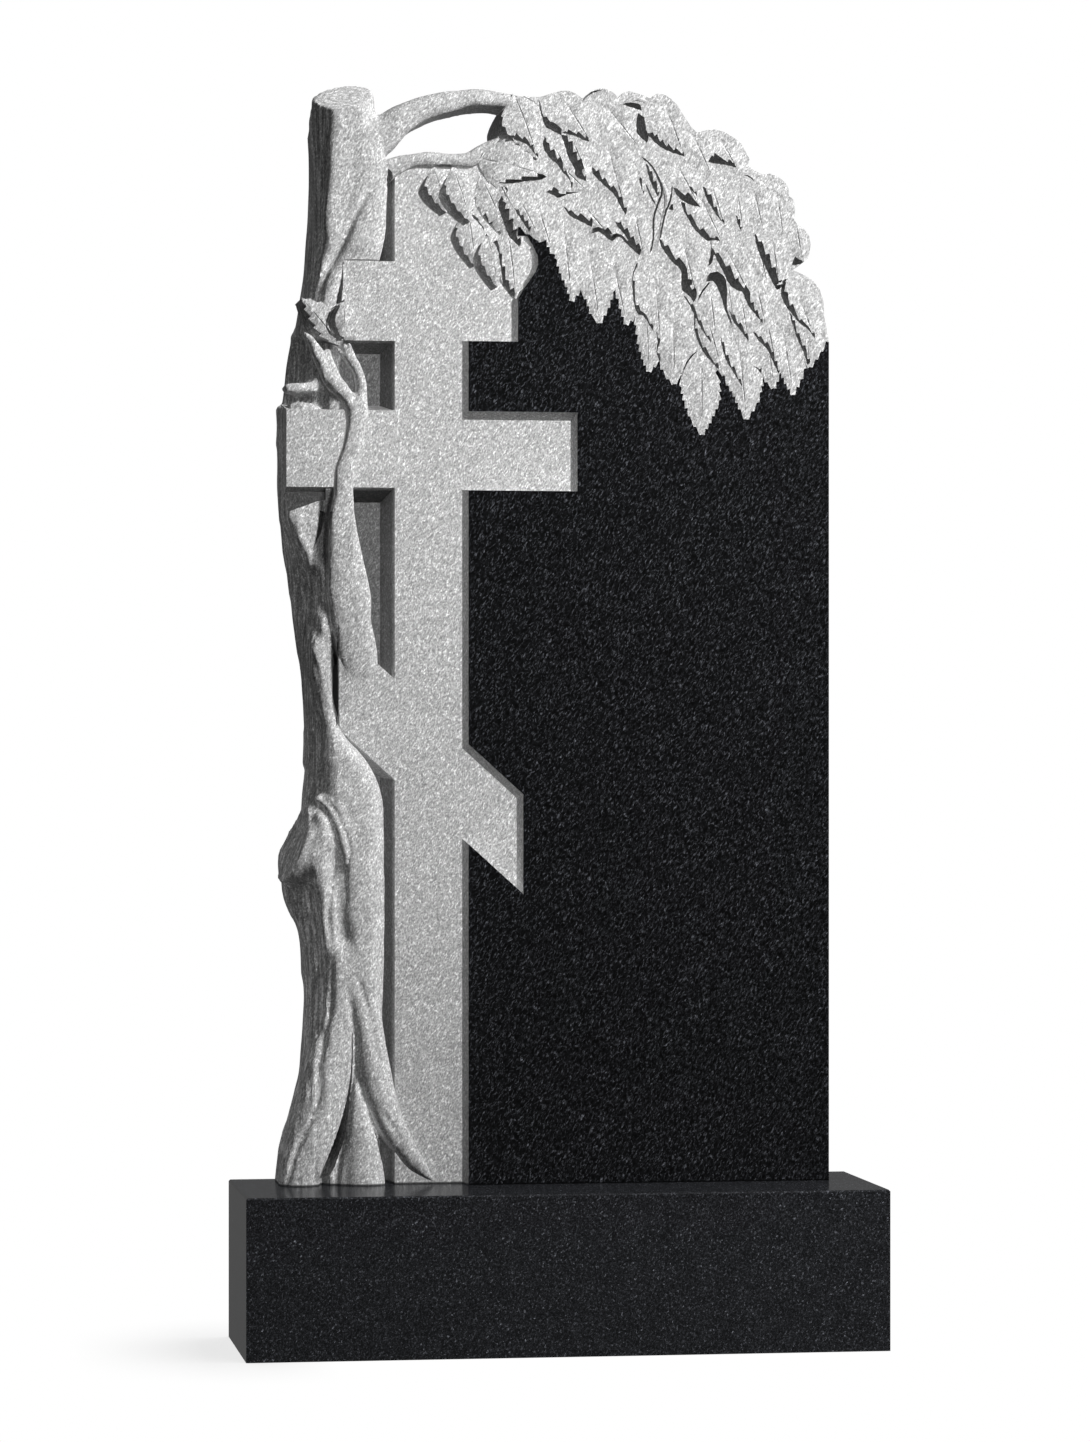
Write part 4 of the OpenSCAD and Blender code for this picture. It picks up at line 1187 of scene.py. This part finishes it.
    # bark streaks and painted light on the sides that face left: fine upright streaks, and these sides lighter towards
    # the foot and darker towards the top
    turned = g.math("MULTIPLY", g.math("SUBTRACT", g.math("MULTIPLY", split(g, tc.outputs["Normal"], "X"), -1.0), 0.35), 3.0, clamp=True)
    wood_ = g.math("MULTIPLY", g.math("SUBTRACT", -0.20, sep.outputs["X"]), 80.0, clamp=True)
    lines = g.noise(g.mapping(obj, (260.0, 260.0, 22.0)), 1.0, 3.0, 0.6, 0.3)
    lines = g.ramp(lines, [(0.38, 0.62), (0.52, 0.95), (0.66, 1.75)])
    side_light_by_height = g.math("ADD", 0.72, g.math("MULTIPLY", g.math("SUBTRACT", 1.15, sep.outputs["Z"]), 0.95))
    c = g.mix("MIX", g.math("MULTIPLY", turned, wood_), c, g.mix("MULTIPLY", 1.0, g.mix("MULTIPLY", 1.0, c, lines), side_light_by_height))
    c = g.mix("MULTIPLY", 1.0, c, level)
    bs = g.new("ShaderNodeBsdfPrincipled")
    bs.inputs["Roughness"].default_value = 0.86
    bs.inputs["Specular IOR Level"].default_value = 0.25
    g.link(c, bs.inputs["Base Color"])
    h = g.math("ADD", g.math("MULTIPLY", n1, 0.7), g.math("MULTIPLY", n2, 0.5))
    g.link(g.bump(h, 0.35, 0.0012), bs.inputs["Normal"])
    out = g.new("ShaderNodeOutputMaterial")
    g.link(bs.outputs[0], out.inputs["Surface"])
    return mat


def split(g, vec, axis):
    n = g.new("ShaderNodeSeparateXYZ")
    g.link(vec, n.inputs[0])
    return n.outputs[axis]


def polished_granite(name, fine):
    mat, nt = nodes_of(name)
    g = Graph(nt)
    tc = g.new("ShaderNodeTexCoord")
    obj = tc.outputs["Object"]
    a = g.mapping(g.mapping(obj, rot=(0, -0.5, 0)), (1.25, 1.0, 0.62) if not fine else (1.1, 1, 0.85))
    s = 400.0 if not fine else 470.0
    n1 = g.noise(a, s, 2.0, 0.55, 0.8)
    n2 = g.noise(a, s * 1.9, 1.0, 0.5, 0.3)
    n3 = g.noise(obj, 60.0, 2.0, 0.5, 0.0)
    if fine:
        f1 = g.ramp(n1, [(0.36, 0.0095), (0.56, 0.0200), (0.66, 0.055), (0.76, 0.20)])
    else:
        f1 = g.ramp(n1, [(0.36, 0.0005), (0.50, 0.0055), (0.62, 0.024), (0.74, 0.10)])
    f2 = g.ramp(n2, [(0.38, 0.5), (0.55, 1.0), (0.72, 1.9)])
    f3 = g.ramp(n3, [(0.35, 0.85), (0.65, 1.15)])
    c = g.mix("MULTIPLY", 1.0, f1, f2)
    c = g.mix("MULTIPLY", 1.0, c, f3)
    sep = g.new("ShaderNodeSeparateXYZ")
    g.link(obj, sep.inputs[0])
    if not fine:
        c = g.mix("MULTIPLY", 1.0, c, joint(g, sep.outputs["Z"]))
    else:
        # a thin, spotted lighter line along the front's top edge
        arris = g.math("MULTIPLY", g.math("SUBTRACT", sep.outputs["Z"], FOOT - 0.0011), 2500.0, clamp=True)
        spots = g.ramp(g.noise(obj, 260.0, 2.0, 0.6, 0.0), [(0.40, 0.02), (0.62, 0.16)])
        front = g.math("MULTIPLY", g.math("SUBTRACT", g.math("MULTIPLY", split(g, tc.outputs["Normal"], "Y"), -1.0), 0.9), 10.0, clamp=True)
        c = g.mix("MIX", g.math("MULTIPLY", arris, front), c, spots)
    # a cold black
    c = g.mix("MULTIPLY", 1.0, c, (0.955, 1.0, 1.13))
    bs = g.new("ShaderNodeBsdfPrincipled")
    bs.inputs["Roughness"].default_value = 0.16
    bs.inputs["Specular IOR Level"].default_value = 0.5
    g.link(c, bs.inputs["Base Color"])
    out = g.new("ShaderNodeOutputMaterial")
    if not fine:
        g.link(bs.outputs[0], out.inputs["Surface"])
        return mat
    # the top and the left end are less glossy than the front
    dull = g.new("ShaderNodeBsdfDiffuse")
    g.link(c, dull.inputs["Color"])
    top = g.math("MULTIPLY", g.math("SUBTRACT", split(g, tc.outputs["Normal"], "Z"), 0.5), 2.0, clamp=True)
    end = g.math("MULTIPLY", g.math("SUBTRACT", g.math("MULTIPLY", split(g, tc.outputs["Normal"], "X"), -1.0), 0.5), 2.0, clamp=True)
    mixed = g.new("ShaderNodeMixShader")
    g.link(g.math("ADD", g.math("MULTIPLY", top, 0.45), g.math("MULTIPLY", end, 0.30)), mixed.inputs[0])
    g.link(bs.outputs[0], mixed.inputs[1])
    g.link(dull.outputs[0], mixed.inputs[2])
    g.link(mixed.outputs[0], out.inputs["Surface"])
    return mat


M_CARVED = carved_granite("carved_granite", 1.0)
# a darker copy of the carved stone: painted shade on the faces marked by in_shade
M_RECESS = carved_granite("painted_shade_granite", 0.48)
M_POLISHED = polished_granite("polished_granite", False)
M_PLINTH = polished_granite("polished_plinth", True)


def finish_stele(ob):
    """Polish where the sawn slab's own faces are left, carved stone everywhere else; sharp edges kept crisp."""
    me = ob.data
    nf = len(me.polygons)
    was = np.zeros(nf, np.int32)
    me.polygons.foreach_get("material_index", was)
    me.materials.clear()
    for m in (M_CARVED, M_POLISHED, M_RECESS):
        me.materials.append(m)
    nrm = np.zeros(nf * 3)
    me.polygons.foreach_get("normal", nrm)
    nrm = nrm.reshape(-1, 3)
    cen = np.zeros(nf * 3)
    me.polygons.foreach_get("center", cen)
    cen = cen.reshape(-1, 3)
    pol = (nrm[:, 1] < -0.999) & (np.abs(cen[:, 1]) < 0.02)
    pol |= (nrm[:, 1] > 0.999) & (np.abs(cen[:, 1] - THICK) < 0.02)
    pol |= (nrm[:, 0] > 0.999) & (np.abs(cen[:, 0] - EDGE) < 0.02)
    # faces marked by in_shade take the darker painted-shade copy of the carved stone
    me.polygons.foreach_set("material_index", np.where(pol, 1, np.where(was == 1, 2, 0)).astype(np.int32))
    smooth = ~(pol | (nrm[:, 2] < -0.9999))
    me.polygons.foreach_set("use_smooth", smooth)
    me.update()
    import bmesh
    bm = bmesh.new()
    bm.from_mesh(me)
    lim = math.radians(38)
    for e in bm.edges:
        if len(e.link_faces) == 2:
            e.smooth = e.calc_face_angle(0.0) < lim
    open_edges = sum(1 for e in bm.edges if len(e.link_faces) != 2)
    bm.to_mesh(me)
    bm.free()
    co = np.zeros(len(me.vertices) * 3)
    me.vertices.foreach_get("co", co)
    me.vertices.foreach_set("co", to_world(co.reshape(-1, 3)).ravel())
    me.update()
    me.calc_loop_triangles()
    print("stele: %d triangles, %d open edges" % (len(me.loop_triangles), open_edges))


# ---------------------------------------------------------------- camera
cam = bpy.data.cameras.new("camera")
cam.sensor_width = 36.0
cam.lens = 4610.0 / 1442.0 * 36.0
cam.shift_x = 0.0
cam.shift_y = 0.0335
cam.clip_start, cam.clip_end = 0.1, 60.0
cam_ob = bpy.data.objects.new("camera", cam)
scene.collection.objects.link(cam_ob)
cam_ob.location = (-0.651, -4.293, 0.541)
cam_ob.rotation_euler = (math.radians(90), 0, math.radians(-8.5))
scene.camera = cam_ob

# ---------------------------------------------------------------- the stele
stele = build_stele()
finish_stele(stele)
stele.name = "stele_carved"
stele.data.name = "stele_carved"
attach(stele, "root")
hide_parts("stele")

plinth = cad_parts["plinth"]
if not plinth.data.materials:
    plinth.data.materials.append(M_PLINTH)
for s in plinth.material_slots:
    s.material = M_PLINTH

# ---------------------------------------------------------------- floor
def floor():
    n = 6.0
    verts = [(-n, -n, 0), (n, -n, 0), (n, n, 0), (-n, n, 0)]
    ob = make("floor", verts, [(0, 1, 2, 3)])
    mat, nt = nodes_of("floor")
    g = Graph(nt)
    # evenly lit white, with a faint soft shade where the plinth meets it
    ao = g.new("ShaderNodeAmbientOcclusion", samples=8, only_local=False)
    ao.inputs["Distance"].default_value = 0.16
    geo = g.new("ShaderNodeTexCoord")
    sep = g.new("ShaderNodeSeparateXYZ")
    g.link(geo.outputs["Object"], sep.inputs[0])
    side = g.math("MULTIPLY", g.math("SUBTRACT", -0.22, sep.outputs["X"]), 9.0, clamp=True)
    dark = g.math("MULTIPLY", g.math("SUBTRACT", 1.0, ao.outputs["AO"]), side)
    level = g.math("SUBTRACT", 1.0, g.math("MULTIPLY", dark, 0.55))
    em = g.new("ShaderNodeEmission")
    em.inputs["Strength"].default_value = 1.0
    g.link(level, em.inputs["Color"])
    out = g.new("ShaderNodeOutputMaterial")
    g.link(em.outputs[0], out.inputs["Surface"])
    ob.data.materials.append(mat)
    ob.visible_diffuse = False
    ob.visible_glossy = False
    ob.visible_shadow = False


floor()


# ---------------------------------------------------------------- light
def area(name, loc, target, size, power, size_y=None):
    li = bpy.data.lights.new(name, "AREA")
    li.energy = power
    li.shape = "RECTANGLE"
    li.size, li.size_y = size, size_y or size
    ob = bpy.data.objects.new(name, li)
    scene.collection.objects.link(ob)
    ob.location = loc
    d = Vector(target) - Vector(loc)
    ob.rotation_euler = d.to_track_quat("-Z", "Y").to_euler()
    return ob


key = area("key", (1.45, -1.55, 1.95), (0, 0, 0.65), 0.5, 100)
key.data.use_shadow = False
key.data.specular_factor = 0.0

w = bpy.data.worlds.new("world")
scene.world = w
w.use_nodes = True
nt = w.node_tree
nt.nodes.clear()
g = Graph(nt)
lp = g.new("ShaderNodeLightPath")
tc = g.new("ShaderNodeTexCoord")
sep = g.new("ShaderNodeSeparateXYZ")
g.link(tc.outputs["Generated"], sep.inputs[0])
# dim surround for the stone: a little brighter behind and above, dark in front
back = g.math("ADD", g.math("MULTIPLY", sep.outputs["Y"], 0.5), 0.5, clamp=True)
above = g.math("MAXIMUM", sep.outputs["Z"], 0.0)
level = g.math("ADD", g.math("MULTIPLY", back, 0.13), g.math("ADD", g.math("MULTIPLY", above, 0.10), 0.055))
b_cam = g.new("ShaderNodeBackground")
b_cam.inputs["Color"].default_value = (1, 1, 1, 1)
b_cam.inputs["Strength"].default_value = 1.0
b_env = g.new("ShaderNodeBackground")
b_env.inputs["Color"].default_value = (1, 1, 1, 1)
g.link(level, b_env.inputs["Strength"])
mx = g.new("ShaderNodeMixShader")
g.link(lp.outputs["Is Camera Ray"], mx.inputs[0])
g.link(b_env.outputs[0], mx.inputs[1])
g.link(b_cam.outputs[0], mx.inputs[2])
wo = g.new("ShaderNodeOutputWorld")
g.link(mx.outputs[0], wo.inputs["Surface"])

scene.view_settings.view_transform = "Standard"
scene.view_settings.look = "None"
scene.view_settings.exposure = 0.0
scene.view_settings.gamma = 1.0
